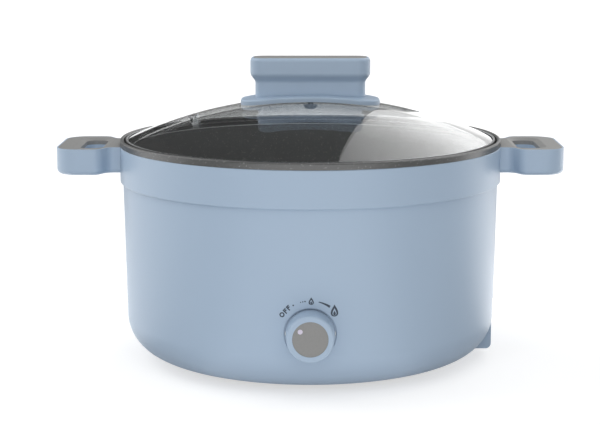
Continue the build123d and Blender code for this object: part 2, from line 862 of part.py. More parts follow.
with BuildPart() as inlet_housing:
    with BuildSketch(Plane.YZ.offset(inlet_back)):
        with Locations((0, recess_middle_z)):
            Rectangle(inlet_width, inlet_height)
    extrude(amount=inlet_depth)
    outer_edges = inlet_housing.edges().filter_by(Axis.Y).group_by(Axis.X)[-1]
    fillet(outer_edges.sort_by(Axis.Z)[0], inlet_corner)
    upright_edges = inlet_housing.edges().filter_by(Axis.Z).group_by(Axis.X)[-1]
    fillet(upright_edges, inlet_side_edge)
    with BuildSketch(Plane.YZ.offset(inlet_back)):
        with Locations((0, recess_middle_z)):
            Rectangle(inlet_width - 2 * wall, inlet_height - 2 * wall)
    extrude(amount=inlet_depth - inlet_front, mode=Mode.SUBTRACT)
    with BuildSketch(Plane.YZ.offset(front_inside)):
        with Locations((0, recess_middle_z)):
            RectangleRounded(socket_width + slip, socket_height + slip, socket_corner)
            with GridLocations(inlet_screw_spread, 0, 2, 1):
                Circle(inlet_screw_radius + screw_gap)
    extrude(amount=inlet_front, mode=Mode.SUBTRACT)
finish(inlet_housing.part, "inlet_housing")

with BuildPart() as inlet_socket:
    with BuildSketch(Plane.YZ.offset(socket_rear)):
        with Locations((0, recess_middle_z)):
            RectangleRounded(socket_width, socket_height, socket_corner)
    extrude(amount=inlet_face - socket_rear)
    with BuildSketch(Plane.YZ.offset(front_inside)):
        with Locations((0, recess_middle_z)):
            RectangleRounded(socket_flange_width, socket_flange_height, socket_flange_corner)
            with GridLocations(inlet_screw_spread, 0, 2, 1):
                Circle(inlet_screw_radius + running_gap, mode=Mode.SUBTRACT)
    extrude(amount=-socket_flange)
    with BuildSketch(Plane.YZ.offset(inlet_face)):
        with Locations((0, recess_middle_z)):
            RectangleRounded(recess_width, recess_height, recess_corner)
    extrude(amount=-recess_depth, mode=Mode.SUBTRACT)
    with BuildSketch(Plane.YZ.offset(socket_rear)):
        with Locations(*blade_places):
            Rectangle(blade_thickness, blade_width)
    extrude(amount=socket_back, mode=Mode.SUBTRACT)
finish(inlet_socket.part, "inlet_socket")

with BuildPart() as inlet_pins:
    with BuildSketch(Plane.YZ.offset(blade_end)):
        with Locations(*blade_places):
            Rectangle(blade_thickness, blade_width)
    extrude(amount=blade_front - blade_end)
    chamfer(inlet_pins.faces().group_by(Axis.X)[-1].edges(), blade_tip)
finish(inlet_pins.part, "inlet_pins")

with BuildPart() as inlet_screws:
    with BuildSketch(Plane.YZ.offset(inlet_face)):
        with Locations((0, recess_middle_z)):
            with GridLocations(inlet_screw_spread, 0, 2, 1):
                Circle(inlet_screw_radius)
    extrude(amount=-(inlet_front + socket_flange + inlet_screw_tip))
    with BuildSketch(Plane.YZ.offset(inlet_face)):
        with Locations((0, recess_middle_z)):
            with GridLocations(inlet_screw_spread, 0, 2, 1):
                Circle(inlet_screw_head)
    extrude(amount=inlet_screw_head_height)
    fillet(inlet_screws.edges().group_by(Axis.X)[-1], inlet_screw_head_edge)
    with BuildSketch(Plane.YZ.offset(inlet_face + inlet_screw_head_height)):
        with Locations((0, recess_middle_z)):
            with GridLocations(inlet_screw_spread, 0, 2, 1):
                Rectangle(inlet_slot_length, inlet_slot_width)
                Rectangle(inlet_slot_width, inlet_slot_length)
    extrude(amount=-inlet_slot_depth, mode=Mode.SUBTRACT)
finish(inlet_screws.part, "inlet_screws")

# ---------------------------------------------------------------- thermostat

bracket_y = panel_y + bracket_thickness
thermostat_y = -(shield_radius + shield_thickness + thermostat_gap)
thermostat_depth = thermostat_y - bracket_y
thermostat_height = 2 * (under_z - thermostat_clearance - knob_z)
shaft_depth = thermostat_depth - thermostat_end_wall
tab_z = knob_z - tab_drop
tab_end_y = thermostat_y + tab_length
bracket_back = Plane(origin=(0, bracket_y, knob_z), x_dir=(1, 0, 0), z_dir=(0, -1, 0))

with BuildPart() as thermostat_bracket:
    with BuildSketch(bracket_back):
        RectangleRounded(thermostat_width + 2 * bracket_overhang, thermostat_height, bracket_corner)
        Circle(shaft_radius + screw_gap, mode=Mode.SUBTRACT)
        with GridLocations(control_screw_spread, 0, 2, 1):
            Circle(control_screw_radius + running_gap, mode=Mode.SUBTRACT)
    extrude(amount=bracket_thickness)
finish(thermostat_bracket.part, "thermostat_bracket")

with BuildPart() as thermostat_body:
    with BuildSketch(bracket_back):
        RectangleRounded(thermostat_width, thermostat_height, thermostat_corner)
    extrude(amount=-thermostat_depth)
    with BuildSketch(bracket_back):
        Circle(shaft_radius + running_gap)
        with GridLocations(control_screw_spread, 0, 2, 1):
            Circle(control_screw_radius + screw_gap)
    extrude(amount=-shaft_depth, mode=Mode.SUBTRACT)
finish(thermostat_body.part, "thermostat_body")

with BuildPart() as thermostat_tabs:
    with BuildSketch(Plane.XZ.offset(-thermostat_y)):
        with Locations((0, tab_z)):
            with GridLocations(tab_spread, 0, 2, 1):
                Rectangle(tab_width, tab_thickness)
    extrude(amount=-tab_length)
finish(thermostat_tabs.part, "thermostat_tabs")

# countersunk screws from the pocket's floor through the panel into the bracket
with BuildPart() as thermostat_screws:
    with BuildSketch(control_plane):
        with GridLocations(control_screw_spread, 0, 2, 1):
            Circle(control_screw_radius)
    extrude(amount=-control_screw_length)
    with BuildSketch(control_plane):
        with GridLocations(control_screw_spread, 0, 2, 1):
            Circle(control_screw_head)
    extrude(amount=control_screw_radius - control_screw_head, taper=45)
    with BuildSketch(control_plane):
        with GridLocations(control_screw_spread, 0, 2, 1):
            Rectangle(control_slot_length, control_slot_width)
            Rectangle(control_slot_width, control_slot_length)
    extrude(amount=-control_slot_width, mode=Mode.SUBTRACT)
finish(thermostat_screws.part, "thermostat_screws")

# ---------------------------------------------------------------- sensor bulb, thermal fuse and clips

bulb_z = under_z - bulb_radius - running_gap
bulb_start_y = bulb_y - bulb_length / 2
capillary_z = shield_top_z + capillary_rise
capillary_turn_y = -(element_circle - rib_width / 2 - capillary_clear)
fuse_z = shield_z - fuse_radius - running_gap

with BuildPart() as sensor_bulb:
    with BuildSketch(Plane.XZ.offset(-bulb_start_y)):
        with Locations((0, bulb_z)):
            Circle(bulb_radius)
    extrude(amount=-bulb_length)
    fillet(sensor_bulb.edges().filter_by(GeomType.CIRCLE), bulb_edge)
finish(sensor_bulb.part, "sensor_bulb")

# thin tube from the thermostat, through the shield's notch and under the element, to the bulb
with BuildPart() as capillary_tube:
    with BuildLine() as capillary_route:
        FilletPolyline(
            (0, thermostat_y, capillary_z),
            (0, capillary_turn_y, capillary_z),
            (0, bulb_start_y - capillary_lead, bulb_z),
            (0, bulb_start_y, bulb_z),
            radius=capillary_bend,
        )
    with BuildSketch(Plane(origin=capillary_route.line @ 0, z_dir=capillary_route.line % 0)):
        Circle(capillary_radius)
    sweep(path=capillary_route.line)
finish(capillary_tube.part, "capillary_tube")

with BuildPart() as thermal_fuse:
    with BuildSketch(Plane.YZ.offset(-fuse_length / 2)):
        with Locations((fuse_y, fuse_z)):
            Circle(fuse_radius)
    extrude(amount=fuse_length)
    chamfer(thermal_fuse.edges().filter_by(GeomType.CIRCLE), fuse_edge)
finish(thermal_fuse.part, "thermal_fuse")


def strap(radius):
    """Sketch of a strap over a tube of this radius, with two feet on the surface the tube lies on."""
    grip_radius = radius + running_gap
    outside = grip_radius + clip_metal
    with BuildSketch() as outline:
        Rectangle(2 * outside, grip_radius, align=(Align.CENTER, Align.MIN))
        with Locations((0, grip_radius)):
            Circle(outside)
        Rectangle(clip_spread + 2 * clip_tab, clip_metal, align=(Align.CENTER, Align.MIN))
        Rectangle(2 * grip_radius, grip_radius, align=(Align.CENTER, Align.MIN), mode=Mode.SUBTRACT)
        with Locations((0, grip_radius)):
            Circle(grip_radius, mode=Mode.SUBTRACT)
        Rectangle(2 * outside, outside, align=(Align.CENTER, Align.MAX), mode=Mode.SUBTRACT)
    return outline.sketch


bulb_seat = Plane(origin=(0, bulb_y, under_z), x_dir=(1, 0, 0), z_dir=(0, 0, -1))
fuse_seat = Plane(origin=(0, fuse_y, shield_z), x_dir=(0, 1, 0), z_dir=(0, 0, -1))
bulb_clip_end = Plane(origin=(0, bulb_y - clip_length / 2, under_z), x_dir=(1, 0, 0), z_dir=(0, 1, 0))
fuse_clip_end = Plane(origin=(-clip_length / 2, fuse_y, shield_z), x_dir=(0, -1, 0), z_dir=(1, 0, 0))

with BuildPart() as bulb_clip:
    with BuildSketch(bulb_clip_end):
        add(strap(bulb_radius))
    extrude(amount=clip_length)
    with BuildSketch(bulb_seat):
        with GridLocations(clip_spread, 0, 2, 1):
            Circle(clip_hole_radius)
    extrude(amount=clip_metal, mode=Mode.SUBTRACT)
finish(bulb_clip.part, "bulb_clip")

with BuildPart() as fuse_clip:
    with BuildSketch(fuse_clip_end):
        add(strap(fuse_radius))
    extrude(amount=clip_length)
    with BuildSketch(fuse_seat):
        with GridLocations(clip_spread, 0, 2, 1):
            Circle(clip_hole_radius)
    extrude(amount=clip_metal, mode=Mode.SUBTRACT)
finish(fuse_clip.part, "fuse_clip")

with BuildPart() as clip_screws:
    for seat in (bulb_seat, fuse_seat):
        with BuildSketch(seat.offset(clip_metal)):
            with GridLocations(clip_spread, 0, 2, 1):
                Circle(clip_hole_radius - running_gap)
        extrude(amount=-(clip_metal + clip_hole_depth - clip_screw_tip_gap))
        with BuildSketch(seat.offset(clip_metal)):
            with GridLocations(clip_spread, 0, 2, 1):
                Circle(clip_screw_head)
        extrude(amount=clip_screw_head_height)
finish(clip_screws.part, "clip_screws")

# ---------------------------------------------------------------- wiring


def wire(name, bend, *points):
    """A sleeved wire along straight runs with rounded corners."""
    with BuildPart() as sleeve:
        with BuildLine() as route:
            FilletPolyline(*points, radius=bend)
        with BuildSketch(Plane(origin=route.line @ 0, z_dir=route.line % 0)):
            Circle(wire_radius)
        sweep(path=route.line)
    finish(sleeve.part, name)


# the corners between a wire's two ends are chosen by hand
wire(
    "wire_neutral",
    wire_bend,
    (blade_end, blade_spacing, live_z),
    (blade_end - terminal_lead, blade_spacing, live_z),
    (tail_x, tail_y, pin_z - pin_lead),
    (tail_x, tail_y, pin_z),
)
wire(
    "wire_live",
    wire_live_bend,
    (blade_end, -blade_spacing, live_z),
    (blade_end - terminal_lead, -blade_spacing, live_z),
    (live_near_x, live_near_y, base_z + live_near_rise),
    (live_far_x, live_far_y, base_z + live_far_rise),
    (tab_spread / 2, tab_end_y + tab_lead, tab_z),
    (tab_spread / 2, tab_end_y, tab_z),
)
wire(
    "wire_fuse",
    wire_bend,
    (-tab_spread / 2, tab_end_y, tab_z),
    (-tab_spread / 2, tab_end_y + terminal_lead, tab_z),
    (-fuse_corner_x, fuse_corner_y, base_z + fuse_corner_rise),
    (-fuse_corner_x, fuse_y, fuse_z),
    (-fuse_length / 2, fuse_y, fuse_z),
)
wire(
    "wire_element",
    wire_bend,
    (fuse_length / 2, fuse_y, fuse_z),
    (fuse_length / 2 + fuse_lead, fuse_y, fuse_z),
    (element_corner_x, element_corner_y, base_z + element_corner_rise),
    (tail_x, -tail_y, pin_z - pin_lead),
    (tail_x, -tail_y, pin_z),
)
wire(
    "wire_earth",
    wire_earth_bend,
    (blade_end, 0, earth_z),
    (blade_end - terminal_lead, 0, earth_z),
    (earth_corner_x, 0, base_z + earth_corner_rise),
    (earth_corner_x, 0, shield_z),
)

# ---------------------------------------------------------------- heat control knob

knob_turn = Plane(origin=(0, pocket_y, knob_z), x_dir=(1, 0, 0), z_dir=(0, 0, -1))
knob_axis = Axis((0, pocket_y, knob_z), (0, -1, 0))
knob_inside = knob_protrusion - knob_top
bore_end = knob_inside - hub_cap
bore_radius = shaft_radius + running_gap
hub_radius = shaft_radius + hub_wall
disc_seat = knob_protrusion - knob_disc_thickness
shaft_flat = shaft_radius - shaft_flat_cut
pointer_offset = knob_disc_radius - pointer_radius - pointer_margin
pointer_place = (pointer_offset * cos(radians(pointer_angle)), pointer_offset * sin(radians(pointer_angle)))

with BuildPart() as knob:
    with BuildSketch(knob_turn):
        with BuildLine():
            Polyline(
                (knob_base_radius - knob_wall, knob_gap),
                (knob_base_radius, knob_gap),
                (knob_face_radius, knob_protrusion),
                (knob_disc_radius + running_gap, knob_protrusion),
                (knob_disc_radius + running_gap, disc_seat),
                (0, disc_seat),
                (0, bore_end),
                (bore_radius, bore_end),
                (bore_radius, hub_gap),
                (hub_radius, hub_gap),
                (hub_radius, knob_inside),
                (knob_face_radius - knob_wall, knob_inside),
                close=True,
            )
        make_face()
    revolve(axis=knob_axis)
    face_rims = knob.edges().filter_by(GeomType.CIRCLE).group_by(Axis.Y)[0]
    fillet(face_rims.sort_by(SortBy.RADIUS)[-1], knob_edge_radius)
    # flat in the bore that keys the knob to its shaft
    with BuildSketch(control_plane.offset(hub_gap)):
        Circle(bore_radius)
        with Locations((0, shaft_flat + running_gap)):
            Rectangle(2 * bore_radius, 2 * bore_radius, align=(Align.CENTER, Align.MAX), mode=Mode.SUBTRACT)
    extrude(amount=bore_end - hub_gap)
finish(knob.part, "knob")

# open spring clip that keeps the knob's hub tight on the shaft
with BuildPart() as knob_spring:
    with BuildSketch(control_plane.offset(hub_gap + spring_setback)):
        Circle(hub_radius + running_gap + spring_metal)
        Circle(hub_radius + running_gap, mode=Mode.SUBTRACT)
        Rectangle(spring_opening, 2 * hub_radius, align=(Align.CENTER, Align.MIN), mode=Mode.SUBTRACT)
    extrude(amount=spring_length)
finish(knob_spring.part, "knob_spring")

with BuildPart() as knob_disc:
    with BuildSketch(control_plane.offset(disc_seat)):
        Circle(knob_disc_radius)
        with Locations(pointer_place):
            Circle(pointer_radius + running_gap, mode=Mode.SUBTRACT)
    extrude(amount=knob_disc_thickness - knob_disc_sink)
finish(knob_disc.part, "knob_disc")

with BuildPart() as knob_pointer:
    with BuildSketch(control_plane.offset(disc_seat)):
        with Locations(pointer_place):
            Circle(pointer_radius)
    extrude(amount=knob_disc_thickness - pointer_sink)
finish(knob_pointer.part, "knob_pointer")

shaft_inner = -(panel_thickness + bracket_thickness + shaft_depth - shaft_end_gap)
with BuildPart() as control_shaft:
    with BuildSketch(control_plane.offset(shaft_inner)):
        Circle(shaft_radius)
    extrude(amount=bore_end - shaft_tip_gap - shaft_inner)
    with BuildSketch(control_plane.offset(hub_gap - shaft_tip_gap)):
        with Locations((0, shaft_flat)):
            Rectangle(2 * shaft_radius, shaft_radius, align=(Align.CENTER, Align.MIN))
    extrude(amount=bore_end, mode=Mode.SUBTRACT)
finish(control_shaft.part, "control_shaft")

# ---------------------------------------------------------------- lid: glass, ring and steam eyelet

glass_hole_radius = lid_screw_radius + glass_hole_gap
eyelet_tube = eyelet_bore + eyelet_wall
eyelet_hole = eyelet_tube + screw_gap
eyelet_radius = eyelet_hole + eyelet_lip
vent_angle = radians(vent_azimuth)
vent_point = Vector(vent_offset * cos(vent_angle), vent_offset * sin(vent_angle), dome_z(vent_offset))
vent_normal = (vent_point - Vector(0, 0, dome_center_z)).normalized()
vent_plane = Plane(origin=vent_point, x_dir=(-sin(vent_angle), cos(vent_angle), 0), z_dir=vent_normal)


def dome_shell(start, reach, low, high):
    """Ring of the dome from radius start to radius reach, between these heights above the glass."""
    middle = (start + reach) / 2
    with BuildPart() as layer:
        with BuildSketch(Plane.XZ):
            with BuildLine():
                ThreePointArc(
                    (start, dome_z(start, high)), (middle, dome_z(middle, high)), (reach, dome_z(reach, high))
                )
                Line((reach, dome_z(reach, high)), (reach, dome_z(reach, low)))
                ThreePointArc(
                    (reach, dome_z(reach, low)), (middle, dome_z(middle, low)), (start, dome_z(start, low))
                )
                Line((start, dome_z(start, low)), (start, dome_z(start, high)))
            make_face()
        revolve(axis=Axis.Z)
    return layer.part


with BuildPart() as lid_glass:
    add(dome_shell(glass_hole_radius, glass_edge, -glass_thickness, 0))
    with BuildSketch(vent_plane):
        Circle(eyelet_hole)
    extrude(amount=glass_thickness + eyelet_flange, both=True, mode=Mode.SUBTRACT)
finish(lid_glass.part, "lid_glass")

with BuildPart() as lid_rim:
    with BuildSketch(Plane.XZ):
        with BuildLine():
            Polyline(
                (lid_ring_inside - lid_ring_foot, ledge_z),
                (lid_ring_radius, ledge_z),
                (lid_ring_radius, rim_z),
                (lid_ring_lip_radius, rim_z),
                (lid_ring_lip_radius, rim_z - lid_ring_metal),
                (lid_ring_inside, rim_z - lid_ring_metal),
                (lid_ring_inside, ledge_z + lid_ring_metal),
                (lid_ring_inside - lid_ring_foot, ledge_z + lid_ring_metal),
                close=True,
            )
        make_face()
    revolve(axis=Axis.Z)
    ring_top = lid_rim.edges().filter_by(GeomType.CIRCLE).group_by(Axis.Z)[-1]
    fillet(ring_top.sort_by(SortBy.RADIUS)[-1], lid_ring_edge)
finish(lid_rim.part, "lid_rim")

with BuildPart() as vent_eyelet:
    with BuildSketch(vent_plane.offset(-glass_thickness - eyelet_flange)):
        Circle(eyelet_radius)
    extrude(amount=eyelet_flange - running_gap)
    with BuildSketch(vent_plane.offset(-glass_thickness - eyelet_flange)):
        Circle(eyelet_tube)
    extrude(amount=glass_thickness + 2 * eyelet_flange)
    with BuildSketch(vent_plane.offset(running_gap)):
        Circle(eyelet_radius)
    extrude(amount=eyelet_flange)
    with BuildSketch(vent_plane.offset(-glass_thickness - eyelet_flange)):
        Circle(eyelet_bore)
    extrude(amount=glass_thickness + 3 * eyelet_flange, mode=Mode.SUBTRACT)
finish(vent_eyelet.part, "vent_eyelet")

# ---------------------------------------------------------------- lid handle

flange_top = pad_thickness + flange_thickness
flange_length = neck_length + 2 * flange_margin_x
flange_depth = neck_depth + 2 * flange_margin_y
pad_length = flange_length - 2 * pad_inset
pad_depth = flange_depth - 2 * pad_inset
grip_top_z = apex_z + grip_height
cap_z = grip_top_z - cap_height
cap_under_z = cap_z - cap_under_height
plate_length = neck_length + 2 * (cap_overhang - plate_border)
plate_depth = neck_depth + 2 * (cap_overhang - plate_border)
plate_corner = neck_corner + cap_overhang - plate_border
insert_radius = lid_screw_radius + insert_wall
insert_z = dome_z(0, flange_top) - insert_sink
handle_rise = grip_top_z - rim_z

with BuildPart() as lid_handle_pad:
    add(dome_shell(glass_hole_radius, flange_length, running_gap, pad_thickness - running_gap))
    with BuildSketch(Plane.XY.offset(rim_z)):
        RectangleRounded(pad_length, pad_depth, flange_corner - pad_inset)
    extrude(amount=handle_rise, mode=Mode.INTERSECT)
finish(lid_handle_pad.part, "lid_handle_pad")

with BuildPart() as lid_handle_base:
    add(dome_shell(0, flange_length, pad_thickness, flange_top))
    with BuildSketch(Plane.XY.offset(rim_z)):
        RectangleRounded(flange_length, flange_depth, flange_corner)
    extrude(amount=handle_rise, mode=Mode.INTERSECT)
    fillet(lid_handle_base.faces().sort_by(Axis.Z)[-1].edges(), flange_edge)
    with BuildSketch(Plane.XY.offset(rim_z)):
        Circle(insert_radius + slip)
    extrude(amount=handle_rise, mode=Mode.SUBTRACT)
finish(lid_handle_base.part, "lid_handle_base")

with BuildSketch() as neck_plan:
    RectangleRounded(neck_length, neck_depth, neck_corner)

with BuildSketch() as cap_plan:
    add(neck_plan.sketch)
    offset(amount=cap_overhang, mode=Mode.REPLACE)

with BuildPart() as lid_handle_grip:
    with BuildSketch(Plane.XY.offset(rim_z)):
        add(neck_plan.sketch)
    extrude(amount=cap_under_z - rim_z)
    add(dome_shell(0, flange_length, -glass_thickness - handle_rise, flange_top), mode=Mode.SUBTRACT)
    with BuildSketch(Plane.XY.offset(cap_under_z)):
        add(neck_plan.sketch)
    with BuildSketch(Plane.XY.offset(cap_z)):
        add(cap_plan.sketch)
    loft()
    with BuildSketch(Plane.XY.offset(cap_z)):
        add(cap_plan.sketch)
    extrude(amount=cap_height)
    fillet(lid_handle_grip.edges().group_by(Axis.Z)[-1], cap_edge_radius)
    fillet(lid_handle_grip.edges().filter_by_position(Axis.Z, cap_z, cap_z), cap_under_radius)
    fillet(lid_handle_grip.edges().filter_by_position(Axis.Z, cap_under_z, cap_under_z), neck_blend)
    with BuildSketch(Plane.XY.offset(grip_top_z - plate_thickness)):
        RectangleRounded(plate_length, plate_depth, plate_corner)
    extrude(amount=plate_thickness, mode=Mode.SUBTRACT)
    with BuildSketch(Plane.XY.offset(rim_z)):
        Circle(insert_radius + running_gap)
    extrude(amount=insert_z + insert_height - rim_z, mode=Mode.SUBTRACT)
finish(lid_handle_grip.part, "lid_handle_grip")

with BuildPart() as lid_handle_plate:
    with BuildSketch(Plane.XY.offset(grip_top_z - plate_thickness)):
        RectangleRounded(plate_length - slip, plate_depth - slip, plate_corner - slip / 2)
    extrude(amount=plate_thickness)
    fillet(lid_handle_plate.edges().group_by(Axis.Z)[-1], plate_edge)
finish(lid_handle_plate.part, "lid_handle_plate")

with BuildPart() as lid_insert:
    with BuildSketch(Plane.XY.offset(insert_z)):
        Circle(insert_radius)
        Circle(lid_screw_radius + running_gap, mode=Mode.SUBTRACT)
    extrude(amount=insert_height)
finish(lid_insert.part, "lid_insert")

washer_radius = glass_hole_radius + washer_overlap
washer_top_z = dome_z(washer_radius, -glass_thickness) - running_gap
washer_low_z = washer_top_z - washer_thickness
with BuildPart() as lid_washer:
    with BuildSketch(Plane.XY.offset(washer_low_z)):
        Circle(washer_radius)
        Circle(lid_screw_radius + screw_gap, mode=Mode.SUBTRACT)
    extrude(amount=washer_thickness)
finish(lid_washer.part, "lid_washer")

with BuildPart() as lid_screw:
    with BuildSketch(Plane.XY.offset(washer_low_z)):
        Circle(lid_screw_radius)
    extrude(amount=insert_z + insert_height - lid_screw_tip_gap - washer_low_z)
    with BuildSketch(Plane.XY.offset(washer_low_z)):
        Circle(washer_radius - lid_screw_head_inset)
    extrude(amount=-lid_screw_head_height)
    fillet(lid_screw.edges().group_by(Axis.Z)[0], lid_screw_head_edge)
finish(lid_screw.part, "lid_screw")
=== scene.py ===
# %% [markdown]
# # Dressing an electric hot pot in Blender
# The pot is a pale blue plastic body with a cast inner pot, a domed glass lid, two ear handles
# and a heat knob on its front. Its solids are already made, in metres and in one shared frame,
# so this script adds what they lack: finishes, the printed dial, a small studio and a camera.
# The solids are loaded first.

# %% Load the solids
import json
from math import cos, pi, radians, sin

import bmesh
import bpy
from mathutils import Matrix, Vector

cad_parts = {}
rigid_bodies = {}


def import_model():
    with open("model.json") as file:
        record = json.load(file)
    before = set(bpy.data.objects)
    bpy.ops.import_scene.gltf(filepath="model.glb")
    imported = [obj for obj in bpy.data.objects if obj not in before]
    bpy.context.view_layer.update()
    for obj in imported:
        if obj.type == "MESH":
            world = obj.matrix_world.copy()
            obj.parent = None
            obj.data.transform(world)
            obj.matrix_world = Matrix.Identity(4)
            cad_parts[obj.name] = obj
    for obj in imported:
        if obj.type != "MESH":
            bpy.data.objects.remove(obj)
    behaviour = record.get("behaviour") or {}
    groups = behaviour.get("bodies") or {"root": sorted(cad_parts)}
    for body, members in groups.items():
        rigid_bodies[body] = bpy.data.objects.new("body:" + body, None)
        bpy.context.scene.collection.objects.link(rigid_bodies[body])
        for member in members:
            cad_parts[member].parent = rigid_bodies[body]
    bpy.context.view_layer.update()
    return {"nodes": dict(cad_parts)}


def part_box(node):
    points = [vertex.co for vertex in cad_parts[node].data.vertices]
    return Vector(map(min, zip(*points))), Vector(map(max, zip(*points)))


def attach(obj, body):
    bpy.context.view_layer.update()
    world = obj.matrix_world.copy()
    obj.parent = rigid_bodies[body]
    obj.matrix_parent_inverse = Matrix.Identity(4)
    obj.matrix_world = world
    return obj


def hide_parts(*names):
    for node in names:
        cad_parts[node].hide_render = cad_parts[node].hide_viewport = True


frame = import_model()
nodes = frame["nodes"]
mm = 0.001

# %% [markdown]
# ## The camera
# Products like this one are shot from about arm's length and slightly above, with a long lens,
# so that the round rim looks like a flat ellipse and the sides stay nearly parallel. The camera
# stands in front of the knob and tilts down by ten degrees. The pot sits a little right of the
# middle, which is a small lens shift and not a turn, so its sides stay symmetrical.

# %% Set up the camera
camera_distance = 1.2
camera_height = 0.3175
camera_tilt = 80.04  # degrees from straight down
focal_length = 97.4  # millimetres, and so is the sensor's width
sensor_width = 36
sideways_shift = -0.0172  # a share of the picture's width

camera = bpy.data.objects.new("camera", bpy.data.cameras.new("camera"))
camera.location = (0, -camera_distance, camera_height)
camera.rotation_euler = (radians(camera_tilt), 0, 0)
camera.data.sensor_width = sensor_width
camera.data.lens = focal_length
camera.data.shift_x = sideways_shift
bpy.context.collection.objects.link(camera)
scene = bpy.context.scene
scene.camera = camera
scene.view_settings.view_transform = "Standard"
print("camera at", [round(v, 3) for v in camera.location])

# %% [markdown]
# ## One helper for shader nodes
# Every finish below is a small tree of nodes. A helper for each kind of node would hide what
# Blender calls it, so there is only one: it takes the node's own type name, a dictionary that
# gives each input either a value or the output that feeds it, and the node's properties.
# A second helper turns a hex colour, which is what a paint chart gives, to the linear light
# that a renderer counts in.

# %% Helpers for colour and nodes
def tint(code):
    """Linear colour, with alpha, of an sRGB hex code such as "A0B2C6"."""
    shares = [int(code[i : i + 2], 16) / 255 for i in (0, 2, 4)]
    return tuple(s / 12.92 if s <= 0.04045 else ((s + 0.055) / 1.055) ** 2.4 for s in shares) + (1,)


def add(owner, kind, inputs=None, **settings):
    """Add a node to a material or world, with its inputs set or linked and its properties set."""
    tree = owner.node_tree
    node = tree.nodes.new("ShaderNode" + kind)
    for name, value in settings.items():
        setattr(node, name, value)
    for name, value in (inputs or {}).items():
        if isinstance(value, bpy.types.NodeSocket):
            tree.links.new(value, node.inputs[name])
        else:
            node.inputs[name].default_value = value
    return node


print("mid blue in linear light:", [round(v, 3) for v in tint("A0B2C6")])

# %% [markdown]
# ## The studio
# A product like this is lit by a few large soft lights, and what the glass and the coating look
# like is decided by where those lights stand and where the gaps between them are. Lamps could
# do that, but a lamp is one flat patch. A world painted by direction gives whole walls of soft
# light and brings little noise. It needs two angles: how far round from the front a direction
# is, and how high it is.

# %% Find the two angles of a direction
world = bpy.data.worlds.new("studio")
world.use_nodes = True
world.node_tree.nodes.clear()
scene.world = world


def angle_round(owner, place):
    """How far round a place is: nought in front, a quarter turn on the right."""
    towards_front = add(owner, "Math", {0: place["Y"], 1: -1.0}, operation="MULTIPLY").outputs[0]
    return add(owner, "Math", {0: place["X"], 1: towards_front}, operation="ARCTAN2").outputs[0]


direction = add(world, "TexCoord").outputs["Generated"]
parts = add(world, "SeparateXYZ", {"Vector": direction}).outputs
turn = angle_round(world, parts)
height = add(world, "Math", {0: parts["Z"]}, operation="ARCSINE").outputs[0]
print("world nodes for the two angles:", len(world.node_tree.nodes))

# %% [markdown]
# Three wide lights stand round the pot: one in front, one on the left that reaches round to the
# back, and one behind it on the right. Each is dimmer near the horizon and brighter higher up.
# Between them the room is dim, and the ceiling above them is an even grey. That shades the
# upright walls of the pot softly from side to side. A helper marks the stretch between two
# angles, with soft edges.

# %% Paint the lights on the room
gap_light = 0.33
ceiling_light = 0.76
light_top = 58  # degrees above the horizon
top_softness = 8
low_share = 0.55  # of a light's strength, at the horizon
high_share = 1.5  # and at its top
sides = {"front": (-38, 38, 1.33), "left": (-142, -78, 1.97), "right": (104, 170, 1.66)}
side_softness = 7


def band(owner, angle, low, high, soft):
    """One between two angles in degrees, nought outside them, with edges this soft."""
    slopes = []
    for foot, top in ((low - soft, low + soft), (high + soft, high - soft)):
        ends = {"Value": angle, "From Min": radians(foot), "From Max": radians(top)}
        slopes.append(add(owner, "MapRange", ends, interpolation_type="SMOOTHSTEP").outputs[0])
    return add(owner, "Math", dict(enumerate(slopes)), operation="MULTIPLY").outputs[0]


low = band(world, height, -90, light_top, top_softness)
room = {"Factor": low, "A": ceiling_light, "B": gap_light}
room = add(world, "Mix", room, data_type="FLOAT").outputs[0]
rise = {
    "Value": height, "From Min": 0, "From Max": radians(light_top),
    "To Min": low_share, "To Max": high_share,
}
rise = add(world, "MapRange", rise).outputs[0]
for first, last, strength in sides.values():
    side = band(world, turn, first, last, side_softness)
    share = add(world, "Math", {0: side, 1: low}, operation="MULTIPLY").outputs[0]
    lamp = add(world, "Math", {0: rise, 1: strength}, operation="MULTIPLY").outputs[0]
    room = add(world, "Mix", {"Factor": share, "A": room, "B": lamp}, data_type="FLOAT").outputs[0]
print("world nodes with the lights:", len(world.node_tree.nodes))

# %% [markdown]
# The page that a catalogue prints the pot on is plain white. Rays that come straight from the
# camera, or from there through clear glass, see that white. All other rays see the room, also
# those that pass through glass after they have met a matt surface.

# %% Show white to the camera
white_light = (1, 1, 1, 1)
path = add(world, "LightPath").outputs
unscattered = add(world, "Math", {0: path["Diffuse Depth"], 1: 0.5}, operation="LESS_THAN").outputs[0]
through = {0: path["Is Transmission Ray"], 1: unscattered}
through = add(world, "Math", through, operation="MULTIPLY").outputs[0]
seen = add(world, "Math", {0: path["Is Camera Ray"], 1: through}, operation="MAXIMUM").outputs[0]
shown = add(world, "Mix", {"Factor": seen, "A": room, "B": 1.0}, data_type="FLOAT").outputs[0]
background = add(world, "Background", {"Color": white_light, "Strength": shown})
add(world, "OutputWorld", {"Surface": background.outputs[0]})
print("world nodes in all:", len(world.node_tree.nodes))

# %% [markdown]
# ## The floor
# The pot stands on a plain white sheet, so wide that its end never shows. One flat face is enough for
# it.

# %% Lay the floor
floor_radius = 12
floor_corners = 64


def sheet(name, corners):
    """A flat studio sheet through these corners."""
    mesh = bpy.data.meshes.new(name)
    mesh.from_pydata(corners, [], [tuple(range(len(corners)))])
    piece = bpy.data.objects.new(name, mesh)
    bpy.context.collection.objects.link(piece)
    return piece


